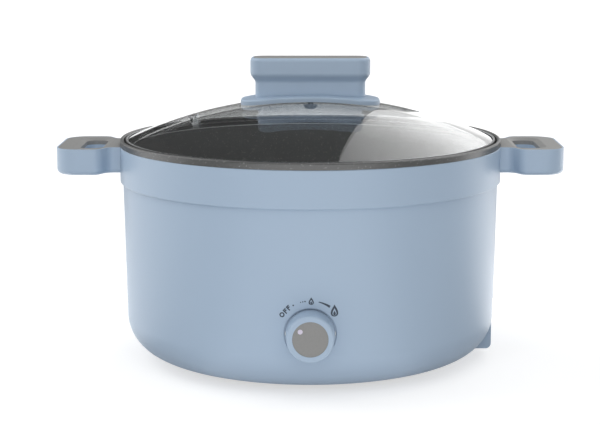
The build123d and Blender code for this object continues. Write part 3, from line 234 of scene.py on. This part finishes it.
around = [2 * pi * i / floor_corners for i in range(floor_corners)]
floor = sheet("floor", [(floor_radius * cos(a), floor_radius * sin(a), 0) for a in around])
print("floor radius in metres:", floor_radius)

# %% [markdown]
# A real white sheet would light the pot from below as strongly as the room does from above,
# which flattens its underside. So the sheet's own paint is a mid grey, which keeps the pot's
# shadow, and a glow lifts it to white for the camera and for what is seen through the glass.
# Matt surfaces and mirror-like ones see only a share of that glow.

# %% Let the floor glow
floor_paint = 0.5
floor_light = 0.8  # about what the room throws on the sheet
full_glow = 1 - floor_paint * floor_light  # the rest of white
round_bounce = 0.28  # how much of the glow matt surfaces see
mirrored_share = 0.3  # and mirror-like ones


def bare_material(name):
    """A material without any nodes."""
    material = bpy.data.materials.new(name)
    material.use_nodes = True
    material.node_tree.nodes.clear()
    return material


paper = bare_material("matt_paper")
path = add(paper, "LightPath").outputs
seen = {0: path["Is Camera Ray"], 1: path["Is Transmission Ray"]}
seen = add(paper, "Math", seen, operation="MAXIMUM").outputs[0]
for ray, share in (("Is Diffuse Ray", round_bounce), ("Is Glossy Ray", mirrored_share)):
    part = add(paper, "Math", {0: path[ray], 1: share}, operation="MULTIPLY").outputs[0]
    seen = add(paper, "Math", {0: seen, 1: part}, operation="MAXIMUM").outputs[0]
glow = add(paper, "Math", {0: seen, 1: full_glow}, operation="MULTIPLY").outputs[0]
print("glow of the sheet:", full_glow)

# %% [markdown]
# The sheet is brighter below each of the lights. The pot's upright walls mirror those pools as a
# soft sheen and take a little light from them. The pools begin some way out, so that the pot's
# foot stays in its own shade, and the camera sees none of them.

# %% Add the pools of light
pools = {"front": (-38, 38, 1.42), "left": (-142, -78, 1.1), "right": (100, 142, 2.2)}
pool_start = 0.098  # metres from the middle
pool_full = 2 * pool_start
pool_bounce = 0.27  # how much of a pool matt surfaces see

spot = add(paper, "TexCoord").outputs["Object"]
turn = angle_round(paper, add(paper, "SeparateXYZ", {"Vector": spot}).outputs)
away = add(paper, "VectorMath", {0: spot}, operation="LENGTH").outputs["Value"]
fade = {"Value": away, "From Min": pool_start, "From Max": pool_full}
fade = add(paper, "MapRange", fade, interpolation_type="SMOOTHSTEP").outputs[0]
bounce = add(paper, "Math", {0: path["Is Diffuse Ray"], 1: pool_bounce}, operation="MULTIPLY").outputs[0]
reach = add(paper, "Math", {0: path["Is Glossy Ray"], 1: bounce}, operation="ADD").outputs[0]
reach = add(paper, "Math", {0: reach, 1: fade}, operation="MULTIPLY").outputs[0]
for first, last, strength in pools.values():
    side = band(paper, turn, first, last, side_softness)
    pool = add(paper, "Math", {0: side, 1: strength}, operation="MULTIPLY").outputs[0]
    glow = add(paper, "Math", {0: pool, 1: reach, 2: glow}, operation="MULTIPLY_ADD").outputs[0]
paint = add(paper, "BsdfDiffuse", {"Color": (floor_paint, floor_paint, floor_paint, 1)})
light = add(paper, "Emission", {"Color": white_light, "Strength": glow})
both = add(paper, "AddShader", {0: paint.outputs[0], 1: light.outputs[0]})
add(paper, "OutputMaterial", {"Surface": both.outputs[0]})
floor.data.materials.append(paper)
print("pools of light:", len(pools))

# %% [markdown]
# ## A white panel, a dark card and a white strip
# A clear dome shows little but what it mirrors, so glassware is shot between panels and cards.
# Half a metre behind the pot stands a tall white panel on the right, brighter towards its
# middle, and a dark card on the left that ends in one upright edge against it. The dome then
# has a bright half and a dark half with a curved line between them. They are real sheets,
# because they stand so near that where they are in the glass depends on their distance. Only
# rays that a sharp mirror or clear glass sends on see them, and for all others they are clear,
# so they put no stripes on the plastic or on the lid's ring.

# %% Stand up the panel
behind = 0.5
edge = 0.1
panel_end = 0.95
panel_top = 1.6
floor_gap = 0.01
corner = 0.36  # where the panel's straight edge ends
bend = 0.12  # and the radius of its rounded corner
bend_angle = 45
bend_steps = 5


def stand(name, ends):
    """An upright sheet behind the pot that the camera itself doesn't see."""
    piece = sheet(name, [(x, behind, z) for x, z in ends])
    piece.visible_camera = False
    return piece


def shine(piece, *ramps):
    """Light a sheet. A ramp is an axis, a start and an end in metres, and the strength at each."""
    glowing = bare_material(piece.name + "_face")
    place = add(glowing, "TexCoord").outputs["Object"]
    place = add(glowing, "SeparateXYZ", {"Vector": place}).outputs
    strength = 1.0
    for axis, start, end, low, high in ramps:
        limits = {"From Min": start, "From Max": end, "To Min": low, "To Max": high}
        ramp = add(glowing, "MapRange", {"Value": place[axis], **limits}).outputs[0]
        strength = add(glowing, "Math", {0: ramp, 1: strength}, operation="MULTIPLY").outputs[0]
    light = add(glowing, "Emission", {"Color": white_light, "Strength": strength})
    clear = add(glowing, "BsdfTransparent")
    sharp = add(glowing, "LightPath").outputs["Is Singular Ray"]
    both = add(glowing, "MixShader", {0: sharp, 1: clear.outputs[0], 2: light.outputs[0]})
    add(glowing, "OutputMaterial", {"Surface": both.outputs[0]})
    piece.data.materials.append(glowing)


rounding = [radians(bend_angle * i / bend_steps) for i in range(bend_steps + 1)]
ends = [(edge + bend * (1 - cos(a)), corner - bend * sin(a)) for a in rounding]
lower_edge = ends[-1][0]
ends += [(lower_edge, floor_gap), (panel_end, floor_gap), (panel_end, panel_top), (edge, panel_top)]
panel = stand("white_panel", ends)
shine(panel, ("X", edge, 0.6, 1.0, 2.9), ("Z", 0.24, 0.36, 0.8, 1.3), ("Z", 0.36, 0.65, 1.0, 0.75))
print("panel's upright edge at x in mm:", round(edge / mm))

# %% [markdown]
# The card ends well above the floor and runs on just behind the panel. A low white strip fills
# the gap below it and rises a little on the right, just before the panel, which keeps the foot
# of the dome pale all along. Neither of the two adds light or shade to matt surfaces.

# %% Stand up the card and the strip
card_end = -2.4
card_foot = 0.19
card_top = 3.0
strip_end = 0.26
strip_top = 0.3
step_apart = 0.002  # metres between the card, the panel and the strip


def keep_from_matt(piece, back):
    """Set a sheet back from the panel, or before it, and hide it from matt surfaces."""
    piece.location.y = back
    piece.visible_diffuse = False
    piece.visible_shadow = False


ends = [(card_end, card_foot), (lower_edge, card_foot), (lower_edge, card_top), (card_end, card_top)]
card = stand("dark_card", ends)
keep_from_matt(card, step_apart)
shine(card, ("Z", card_foot, 1.4, 0.05, 0.16))

ends = [(card_end, floor_gap), (strip_end, floor_gap), (strip_end, strip_top), (lower_edge, strip_top)]
low_strip = stand("white_strip", ends + [(lower_edge, card_foot), (card_end, card_foot)])
keep_from_matt(low_strip, -step_apart)
shine(low_strip, ("X", edge, lower_edge, 1.35, 1.9), ("Z", 0.2, strip_top, 1.0, 0.65))
print("panel and card meet at x in mm:", round(edge / mm), "to", round(lower_edge / mm))

# %% [markdown]
# ## Starting a finish
# Each finish begins with the Principled shader and plain values for the material: its colour,
# how rough it is, whether it is a metal. The grain that a real surface has is then added as
# noise, in millimetres of the pot itself, because the solids carry no picture coordinates. One
# pattern can drive the colour, the roughness and the height together, as a real speck does.
# Most finishes need one noise only, so a helper makes those in one go.

# %% Helpers for finishes
noise_low, noise_high = 0.3, 0.7  # nearly all of a noise lies between these
colour_a, colour_b, colour_out = 6, 7, 2  # a Mix node's sockets for colours, after those for numbers


def new_finish(name, **surface):
    """A material with its Principled shader and the pot's own coordinates in millimetres."""
    material = bpy.data.materials.new(name)
    material.use_nodes = True
    shader = material.node_tree.nodes["Principled BSDF"]
    for socket, value in surface.items():
        shader.inputs[socket.replace("_", " ")].default_value = value
    place = add(material, "TexCoord").outputs["Object"]
    in_mm = add(material, "VectorMath", {0: place, "Scale": 1 / mm}, operation="SCALE").outputs[0]
    return material, shader, in_mm


def scale_for(size):
    """The scale of a noise whose blobs are this many millimetres across, each half a wave."""
    return 0.5 / size


def drive(material, shader, pattern, tints=None, rough=None, depth=None):
    """Let a pattern move the colour, the roughness and the height in millimetres."""
    sources = {}
    if tints:
        colours = {"Factor": pattern, colour_a: tint(tints[0]), colour_b: tint(tints[1])}
        sources["Base Color"] = add(material, "Mix", colours, data_type="RGBA").outputs[colour_out]
    if rough:
        limits = {"From Min": noise_low, "From Max": noise_high, "To Min": rough[0], "To Max": rough[1]}
        sources["Roughness"] = add(material, "MapRange", {"Value": pattern, **limits}).outputs[0]
    if depth:
        raised = {"Height": pattern, "Distance": depth * mm, "Strength": 1.0}
        sources["Normal"] = add(material, "Bump", raised).outputs[0]
    for socket, source in sources.items():
        material.node_tree.links.new(source, shader.inputs[socket])


def noisy_finish(name, size, tints, rough=None, depth=None, detail=2, **surface):
    """A finish that one noise, with blobs this many millimetres across, varies all over."""
    material, shader, in_mm = new_finish(name, **surface)
    noise = {"Vector": in_mm, "Scale": scale_for(size), "Detail": detail}
    noise = add(material, "TexNoise", noise).outputs["Fac"]
    drive(material, shader, noise, tints, rough, depth)
    return material


def dress(material, *names):
    """Give a finish to solids by name."""
    for name in names:
        for place in nodes[name].material_slots:
            place.material = material
    print(material.name, "on", len(names), "solids")


print("noise scale for blobs of half a millimetre:", scale_for(0.5))

# %% [markdown]
# ## Moulded polypropylene
# The body, collar, ears, inlet housing, lid handle and knob are polypropylene, coloured right
# through and shot into a spark-eroded mould. The mould leaves a very fine grain, so the skin
# has a broad soft sheen and never a sharp highlight. The real grain is about 0.1 mm, too fine
# to show here, so it is drawn at 0.5 mm and only a few microns deep. A second, very wide noise
# moves the colour a little, as the flow of the melt does.

# %% Blue body plastic
blue, shader, in_mm = new_finish("moulded_polypropylene_blue", Roughness=0.42, IOR=1.49)
spark_grain = {"Vector": in_mm, "Scale": scale_for(0.5), "Detail": 2}
flow = {"Vector": in_mm, "Scale": scale_for(60), "Detail": 1}
drive(blue, shader, add(blue, "TexNoise", flow).outputs["Fac"], tints=("9DB0C5", "A1B4C8"))
drive(blue, shader, add(blue, "TexNoise", spark_grain).outputs["Fac"], rough=(0.38, 0.46), depth=0.006)
dress(
    blue, "body_shell", "collar", "handle_left", "handle_right", "inlet_housing", "knob",
    "lid_handle_base", "lid_handle_grip",
)

# %% [markdown]
# ## Grey trim
# The ear plates, the plate on the lid handle and the knob's disc are a mid grey ABS. Their mould
# has a slightly deeper grain, so they are a little duller than the body and mirror less. It is
# drawn as coarse as the body's, for the same reason.

# %% Grey trim plastic
grey = noisy_finish(
    "moulded_abs_grey", 0.5, ("828281", "8A8A89"), rough=(0.42, 0.5), depth=0.008,
    Roughness=0.46, IOR=1.54, Specular_IOR_Level=0.3,
)
dress(grey, "handle_cap_left", "handle_cap_right", "lid_handle_plate", "knob_disc")

# %% [markdown]
# ## Black moulded parts
# The bottom cover, the inlet's socket and the thermostat's case are glass-filled nylon or
# phenolic. Both are dull and nearly black, so one finish does for the three.

# %% Black technical plastic
black = noisy_finish(
    "moulded_phenolic_black", 0.6, ("1E1F21", "2A2B2D"), rough=(0.42, 0.6), depth=0.01,
    Roughness=0.5, IOR=1.6,
)
dress(black, "bottom_cover", "inlet_socket", "thermostat_body")

# %% [markdown]
# ## The pale pointer
# A small plug of ABS is set into the disc and points at the setting. It is a cool off-white,
# moulded smooth, so a faint change of colour is all it needs.

# %% White pointer
white = noisy_finish("moulded_abs_white", 0.6, ("C3BCCF", "CFC9DA"), Roughness=0.35, IOR=1.54)
dress(white, "knob_pointer")

# %% [markdown]
# ## Speckled coating
# The inner pot is die-cast aluminium with a sprayed non-stick coating of the granite kind: a
# dark coat with paler flecks of a second coat splashed over it. The flecks are about half a
# millimetre across, with fainter dust between them. A cell pattern gives the flecks: each cell
# has its own random number, and only the few cells with the highest numbers become flecks. The
# peaks of a fine noise give the dust.

# %% Coated inner pot
cell_size = 0.8  # millimetres
fleck_from, fleck_full = 0.9, 0.95  # a cell whose random number is this high becomes a fleck
fleck_edge, fleck_core = 0.42, 0.25  # how far a fleck reaches from its middle, in cells
dust_size = 0.35
dust_from, dust_full = 0.6, 0.74  # where the noise is this high it shows as dust
dust_strength = 0.25

coated, shader, in_mm = new_finish(
    "granite_coated_aluminium", Roughness=0.36, IOR=1.5, Specular_IOR_Level=0.9
)
cells = add(coated, "TexVoronoi", {"Vector": in_mm, "Scale": 1 / cell_size}, feature="F1").outputs
number = add(coated, "SeparateXYZ", {"Vector": cells["Color"]}).outputs["X"]
chosen = {"Value": number, "From Min": fleck_from, "From Max": fleck_full}
chosen = add(coated, "MapRange", chosen).outputs[0]
inside = {"Value": cells["Distance"], "From Min": fleck_edge, "From Max": fleck_core}
inside = add(coated, "MapRange", inside).outputs[0]
fleck = add(coated, "Math", {0: chosen, 1: inside}, operation="MULTIPLY").outputs[0]
fine = {"Vector": in_mm, "Scale": scale_for(dust_size), "Detail": 3}
fine = add(coated, "TexNoise", fine).outputs["Fac"]
dust = {"Value": fine, "From Min": dust_from, "From Max": dust_full, "To Max": dust_strength}
dust = add(coated, "MapRange", dust).outputs[0]
all_specks = add(coated, "Math", {0: fleck, 1: dust}, operation="MAXIMUM").outputs[0]
drive(coated, shader, all_specks, tints=("3A3B3B", "9A9C9C"), depth=0.01)
drive(coated, shader, fine, rough=(0.3, 0.42))
dress(coated, "inner_pot")

# %% [markdown]
# ## Toughened glass
# The dome is 4 mm soda-lime glass, sagged over a mould and toughened, so it is clear and dead
# smooth, with a faint green. Glass of index 1.52 both mirrors and bends light. In a wall that is
# thin and even the two bends cancel, and what is seen through it stays where it is, but in a
# shell this coarse they would smear the far rim. So the bend is turned off with an index of 1,
# and the mirror comes from a clear coat of glass's own index, on the outer and the inner face.

# %% Lid glass
glass, shader, in_mm = new_finish(
    "toughened_glass", Base_Color=tint("F8FAFA"), Roughness=0.0, IOR=1.0, Transmission_Weight=1.0,
    Coat_Weight=1.0, Coat_Roughness=0.0, Coat_IOR=1.52,
)
dress(glass, "lid_glass")

# %% [markdown]
# ## The steam eyelet
# A short stainless tube lines the steam hole in the glass. It is turned, so it is bright and
# smooth, and one fine noise gives the small unevenness of its colour and its gloss.

# %% Stainless vent eyelet
bright = noisy_finish(
    "turned_stainless_steel", 0.4, ("A8AAAC", "C6C8CA"), rough=(0.08, 0.18),
    Metallic=1.0, Roughness=0.12,
)
dress(bright, "vent_eyelet")

# %% [markdown]
# ## The ring round the lid
# The ring is rolled from stainless strip. Only its top lip and the cut edges on the inside show bare
# steel. The rest of it is painted a near black. That is painted shade, not a coat: it keeps the faces
# below the lip and the rounded outer corner dark, where bare steel would mirror the room's lights. So
# the ring has one finish that is either of the two, by place. A shader knows only where a point is, so
# the limits between them are measured on the ring first.

# %% Measure the ring
steel_thickness = 0.6
corner_radius = 0.5
slack = 0.05  # millimetres that a face may lie off its limit

ring_points = [point.co / mm for point in nodes["lid_rim"].data.vertices]
ring_top = max(point.z for point in ring_points)
lip_points = [point for point in ring_points if point.z > ring_top - steel_thickness / 2]
lip_start = ring_top - steel_thickness - slack
corner_start = max(point.xy.length for point in ring_points) - corner_radius
foot_end = min(point.xy.length for point in ring_points) + slack
cut_end = min(point.xy.length for point in lip_points) + slack
print("limits on the ring in mm:", [round(v, 2) for v in (lip_start, corner_start, foot_end, cut_end)])

# %% [markdown]
# The steel shows above the fold and inside its rounded corner, or at a cut edge, and the painted shade
# of near black covers the rest, the rounded corner included. The fine lines that rolling leaves run
# round the ring, so they are drawn as a noise that changes with radius and height only. A cut edge is
# matt and bright, where the rolled face is smooth.

# %% Ring of steel and painted shade
lines_per_mm = 4.0
dull, polished = 0.6, 0.12  # how rough the painted near black and a cut edge are, and the rolled face

ring, shader, in_mm = new_finish("steel_ring_with_painted_shade", Roughness=polished)
level = add(ring, "SeparateXYZ", {"Vector": in_mm}).outputs["Z"]
out = add(ring, "VectorMath", {0: in_mm, 1: (1, 1, 0)}, operation="MULTIPLY").outputs[0]
radius = add(ring, "VectorMath", {0: out}, operation="LENGTH").outputs["Value"]

in_lip = add(ring, "Math", {0: level, 1: lip_start}, operation="GREATER_THAN").outputs[0]
off_corner = add(ring, "Math", {0: radius, 1: corner_start}, operation="LESS_THAN").outputs[0]
at_foot = add(ring, "Math", {0: radius, 1: foot_end}, operation="LESS_THAN").outputs[0]
cut = add(ring, "Math", {0: radius, 1: cut_end}, operation="LESS_THAN").outputs[0]
lip = add(ring, "Math", {0: in_lip, 1: off_corner}, operation="MULTIPLY").outputs[0]
steel = add(ring, "Math", {0: lip, 1: at_foot}, operation="MAXIMUM").outputs[0]

along = add(ring, "CombineXYZ", {"X": radius, "Y": level}).outputs[0]
lines = add(ring, "TexNoise", {"Vector": along, "Scale": lines_per_mm, "Detail": 2}).outputs["Fac"]
rolled = {"Factor": lines, colour_a: tint("B4B6B8"), colour_b: tint("D0D2D4")}
rolled = add(ring, "Mix", rolled, data_type="RGBA").outputs[colour_out]
metal = {"Factor": cut, colour_a: rolled, colour_b: tint("ECEDEE")}
metal = add(ring, "Mix", metal, data_type="RGBA").outputs[colour_out]
# Outside the steel the ring is painted near black, which is painted shade.
colour = {"Factor": steel, colour_a: tint("1D1E1F"), colour_b: metal}
colour = add(ring, "Mix", colour, data_type="RGBA").outputs[colour_out]
smooth = add(ring, "Math", {0: cut, 1: -1.0, 2: steel}, operation="MULTIPLY_ADD").outputs[0]
rough = add(ring, "Mix", {"Factor": smooth, "A": dull, "B": polished}, data_type="FLOAT").outputs[0]
for socket, source in (("Base Color", colour), ("Roughness", rough), ("Metallic", steel)):
    ring.node_tree.links.new(source, shader.inputs[socket])
dress(ring, "lid_rim")

# %% [markdown]
# ## Zinc-plated steel
# The screws, studs, nuts, clips, the bracket, the spring and the shaft are mild steel with a
# thin coat of zinc. The coat is grey and a little cloudy, so patches about a millimetre wide
# vary in colour and in gloss together.

# %% Zinc-plated fasteners and pressings
zinc = noisy_finish(
    "zinc_plated_steel", 1.2, ("9A9DA0", "BEC1C4"), rough=(0.28, 0.45), detail=3,
    Metallic=1.0, Roughness=0.35,
)
dress(
    zinc, "handle_screws", "bottom_screws", "pot_studs", "pot_nuts", "thermostat_bracket",
    "thermostat_screws", "bulb_clip", "fuse_clip", "clip_screws", "knob_spring", "control_shaft",
)

# %% [markdown]
# The two screws beside the inlet are plated too, and their countersunk heads lie almost flush with
# the housing. The solids have raised heads. A solid's own mesh is never changed, so a copy in
# which all that stands proud of the housing is pressed flat takes its place.

# %% Flush inlet screws
head_share = 0.2  # what is left of the height of a raised head
housing_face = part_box("inlet_housing")[1].x
flush_mesh = nodes["inlet_screws"].data.copy()
for point in flush_mesh.vertices:
    point.co.x = min(point.co.x, housing_face + head_share * (point.co.x - housing_face))
flush_screws = bpy.data.objects.new("flush_inlet_screws", flush_mesh)
bpy.context.collection.objects.link(flush_screws)
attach(flush_screws, "base")
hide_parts("inlet_screws")
flush_mesh.materials.clear()
flush_mesh.materials.append(zinc)
proud = max(point.co.x for point in flush_mesh.vertices) - housing_face
print("inlet screw heads stand proud by mm:", round(proud / mm, 2))

# %% [markdown]
# ## Blackened steel
# The lid's screw and washer show through the glass. They are steel that has been blackened in an
# oxide bath, which leaves it dark and satin. It stays a metal, with a dark colour.

# %% Blackened lid screw and washer
blackened = noisy_finish(
    "black_oxide_steel", 1.0, ("3E4145", "54585D"), detail=3, Metallic=1.0, Roughness=0.5
)
dress(blackened, "lid_washer", "lid_screw")

# %% [markdown]
# ## The heating element
# The element's sheath is a stainless tube. Heat leaves brown and straw tints on it in broad
# patches, so its noise is wide.

# %% Heating element sheath
sheath = noisy_finish(
    "heat_tinted_stainless_steel", 8, ("7D7468", "A19A90"), detail=3, Metallic=1.0, Roughness=0.4
)
dress(sheath, "heating_element")

# %% [markdown]
# ## The heat shield
# The shield is steel sheet that was dipped in aluminium. The coat freezes in pale spangles a few
# millimetres wide, each with a gloss of its own.

# %% Aluminised heat shield
shield = noisy_finish(
    "aluminised_steel_sheet", 4, ("B9BBBD", "D2D4D6"), rough=(0.25, 0.42), detail=4,
    Metallic=1.0, Roughness=0.3,
)
dress(shield, "heat_shield")

# %% [markdown]
# ## Rubber and silicone
# The feet are black rubber with a faint grey bloom. The seal round the pot is dark silicone, and
# the pad below the lid's handle is a blue-grey one. All three are soft and dull, so a small
# change of colour is enough.

# %% Feet, seal and pad
rubber = noisy_finish("moulded_rubber", 3, ("242424", "343433"), detail=4, Roughness=0.75, IOR=1.52)
dress(rubber, "feet")

silicone = noisy_finish(
    "moulded_silicone", 2, ("3B3D3F", "46484A"), detail=3, Roughness=0.55, IOR=1.41
)
dress(silicone, "pot_seal")

pale_silicone = noisy_finish(
    "moulded_silicone_blue_grey", 2, ("7D8B9A", "8895A4"), detail=3, Roughness=0.55, IOR=1.41
)
dress(pale_silicone, "lid_handle_pad")

# %% [markdown]
# ## Ceramic, brass and copper
# These sit inside, so each gets the plain look of its material and little more. Steatite is a
# cream ceramic, fired and left matt. The brass parts are stamped or turned and the copper ones
# drawn, and both are metals, whose colour lies in their mirror.

# %% Spacers, contacts and sensor
steatite = noisy_finish("fired_steatite", 0.8, ("D6D1C4", "E8E4DA"), detail=4, Roughness=0.7, IOR=1.6)
dress(steatite, "pot_spacers", "element_bushes", "thermal_fuse")

brass = noisy_finish(
    "stamped_brass", 1.5, ("C9A25A", "DDBB78"), detail=3, Metallic=1.0, Roughness=0.28
)
dress(brass, "inlet_pins", "thermostat_tabs", "lid_insert")

copper = noisy_finish(
    "drawn_copper", 3, ("B5694A", "D08A68"), detail=3, Metallic=1.0, Roughness=0.3
)
dress(copper, "capillary_tube", "sensor_bulb")

# %% [markdown]
# ## Sleeved wires
# So near to the heat the wires run in braided sleeves of glass fibre, cream and quite matt. A
# slanting wave with a little wobble stands for the braid. Its bands are about a millimetre
# apart, which is coarser than real braid, so that it can be seen at all.

# %% Wires
braid_scale = 0.4  # gives diagonal bands 0.9 mm apart
braid_wobble = 1.5

sleeve, shader, in_mm = new_finish("glass_fibre_sleeving", Roughness=0.85)
braid = {"Vector": in_mm, "Scale": braid_scale, "Distortion": braid_wobble}
braid = add(sleeve, "TexWave", braid, bands_direction="DIAGONAL").outputs["Fac"]
drive(sleeve, shader, braid, tints=("CFC8B4", "E6E1D2"))
dress(sleeve, "wire_live", "wire_neutral", "wire_earth", "wire_fuse", "wire_element")

# %% [markdown]
# ## The printed dial
# Round the knob the body carries a small print: the word OFF, a row of dots, a small flame, a
# stroke that grows thicker, and a large flame. On the real pot it is pad-printed, a film of ink
# a few hundredths of a millimetre thick. An image would need picture coordinates, so the signs
# are drawn as one flat curve, which Blender fills by itself, holes included. It is drawn in
# millimetres about the knob's axis, with angles clockwise from straight up.

# %% Start the drawing
print_radius = 23.0
drawing = bpy.data.curves.new("dial_drawing", "CURVE")
drawing.dimensions = "2D"
drawing.fill_mode = "BOTH"


def place_on_dial(points, angle, tilt=0.0):
    """Move a sign, drawn about its own centre, to its angle on the dial."""
    middle_x = print_radius * sin(radians(angle))
    middle_y = print_radius * cos(radians(angle))
    lean = radians(tilt)
    return [
        (middle_x + x * cos(lean) + y * sin(lean), middle_y - x * sin(lean) + y * cos(lean))
        for x, y in points
    ]


def draw(points):
    """Add one closed outline to the drawing."""
    line = drawing.splines.new("POLY")
    line.points.add(len(points) - 1)
    for corner, (x, y) in zip(line.points, points):
        corner.co = (x, y, 0, 1)
    line.use_cyclic_u = True


print("radius of the print in mm:", print_radius)

# %% [markdown]
# The letters are plain strokes of one width. An F is one outline with ten corners, and the O is
# one ellipse inside another. The word leans with the dial.

# %% Letter the word OFF
letter_height = 3.5
letter_width = 2.45
o_width = 3.5
stroke = 0.85
letter_gap = 0.65
off_angle = -47.5
waist_share = 0.45  # how high an F's middle arm sits
arm_short = 0.3  # and how much shorter it is than the top one


def oval(width, height, x=0.0, y=0.0, count=24):
    """An ellipse about a point."""
    turns = [2 * pi * i / count for i in range(count)]
    return [(x + width / 2 * cos(a), y + height / 2 * sin(a)) for a in turns]


def letter_f(left):
    """The outline of an F that starts at this place on the line."""
    foot = -letter_height / 2
    top = letter_height / 2
    waist = foot + waist_share * letter_height
    right = left + letter_width
    inner = left + stroke
    arm = right - arm_short
    return [
        (left, foot), (inner, foot), (inner, waist), (arm, waist), (arm, waist + stroke),
        (inner, waist + stroke), (inner, top - stroke), (right, top - stroke), (right, top), (left, top),
    ]


word_length = o_width + 2 * (letter_gap + letter_width)
start = -word_length / 2
o_middle = start + o_width / 2
draw(place_on_dial(oval(o_width, letter_height, o_middle), off_angle, off_angle))
hollow = oval(o_width - 2 * stroke, letter_height - 2 * stroke, o_middle)
draw(place_on_dial(hollow, off_angle, off_angle))
for i in range(2):
    left = start + o_width + letter_gap + i * (letter_width + letter_gap)
    draw(place_on_dial(letter_f(left), off_angle, off_angle))
print("word length in mm:", round(word_length, 1))

# %% [markdown]
# The dots are small ovals. The stroke is an arc between two circles that draw apart. A flame is
# a drop with a pointed top, whose width swells towards the foot. The same formula, made
# smaller, gives the hole in it and the small drop inside that hole.

# %% Draw the dots, the stroke and the flames
dot_angles = {-30: 1.1, -16.5: 0.8, -12.7: 0.9, -8.9: 1.0}  # and how wide each dot is
stroke_start, stroke_end = 14, 35
stroke_thin, stroke_thick = 0.6, 1.7
stroke_steps = 8
flames = {1.5: (4.0, 5.2), 45: (5.8, 8.4)}  # angles, with width and height
in_flame = [(1, 1, 0), (0.52, 0.6, -0.11), (0.34, 0.38, -0.2)]  # flame, hole and drop, as shares
drop_swell = 0.62  # brings the widest place to about the width asked for
drop_point = 1.4  # a larger one makes the top more pointed


def drop(width, height, y=0.0, count=28):
    """A drop with its point up, about this wide and just this high, with its middle at y."""
    turns = [2 * pi * i / count for i in range(count)]
    return [
        (drop_swell * width * sin(a) * sin(a / 2) ** drop_point, y + height / 2 * cos(a)) for a in turns
    ]


for angle, size in dot_angles.items():
    draw(place_on_dial(oval(size, size, count=12), angle))

outer, inner = [], []
for i in range(stroke_steps + 1):
    share = i / stroke_steps
    angle = radians(stroke_start + share * (stroke_end - stroke_start))
    half = (stroke_thin + share * (stroke_thick - stroke_thin)) / 2
    outer.append(((print_radius + half) * sin(angle), (print_radius + half) * cos(angle)))
    inner.append(((print_radius - half) * sin(angle), (print_radius - half) * cos(angle)))
draw(outer + inner[::-1])

for angle, (width, height) in flames.items():
    for across, up, lift in in_flame:
        draw(place_on_dial(drop(across * width, up * height, lift * height), angle))
print("outlines drawn:", len(drawing.splines))

# %% [markdown]
# The drawing is filled and thickened while it is flat, and every point is then dropped straight
# back onto the body. The place of the skin comes from the body's own mesh, by a ray, so the
# film lies on it all over. The film is 0.1 mm thick, and a third of it is sunk in the skin.

# %% Wrap the print round the body
film = 0.1
film_lift = film / 6  # of its middle above the skin
ray_room = 0.1  # metres before the knob at which a ray starts

drawing.extrude = film / 2
flat = bpy.data.objects.new("dial_flat", drawing)
printed = bpy.data.meshes.new_from_object(flat)
bpy.data.objects.remove(flat)

knob_low, knob_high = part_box("knob")
axis = (knob_low + knob_high) / 2
body = nodes["body_shell"]
missed = 0
for point in printed.vertices:
    x = axis.x + point.co.x * mm
    z = axis.z + point.co.y * mm
    found, skin, _, _ = body.ray_cast(Vector((x, knob_low.y - ray_room, z)), Vector((0, 1, 0)))
    point.co = (x, skin.y - (point.co.z + film_lift) * mm, z)
    missed += not found
print("points dropped on the body:", len(printed.vertices), "missed:", missed)

# %% [markdown]
# The filled front, the back and the sides come as separate skins, so points in one place are
# made one, which closes the film. The ink is a dark blue and satin.

# %% Close the film and ink it
merge_distance = 0.001 * mm

film_mesh = bmesh.new()
film_mesh.from_mesh(printed)
bmesh.ops.remove_doubles(film_mesh, verts=film_mesh.verts, dist=merge_distance)
bmesh.ops.recalc_face_normals(film_mesh, faces=film_mesh.faces)
open_edges = [line for line in film_mesh.edges if not line.is_manifold]
film_mesh.to_mesh(printed)
film_mesh.free()

dial_print = bpy.data.objects.new("dial_print", printed)
bpy.context.collection.objects.link(dial_print)
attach(dial_print, "base")

ink = noisy_finish("pad_printed_ink", 0.4, ("1C2A3B", "263648"), Roughness=0.45, IOR=1.5)
printed.materials.clear()
printed.materials.append(ink)
print("dial print:", len(printed.polygons), "faces, open edges:", len(open_edges))
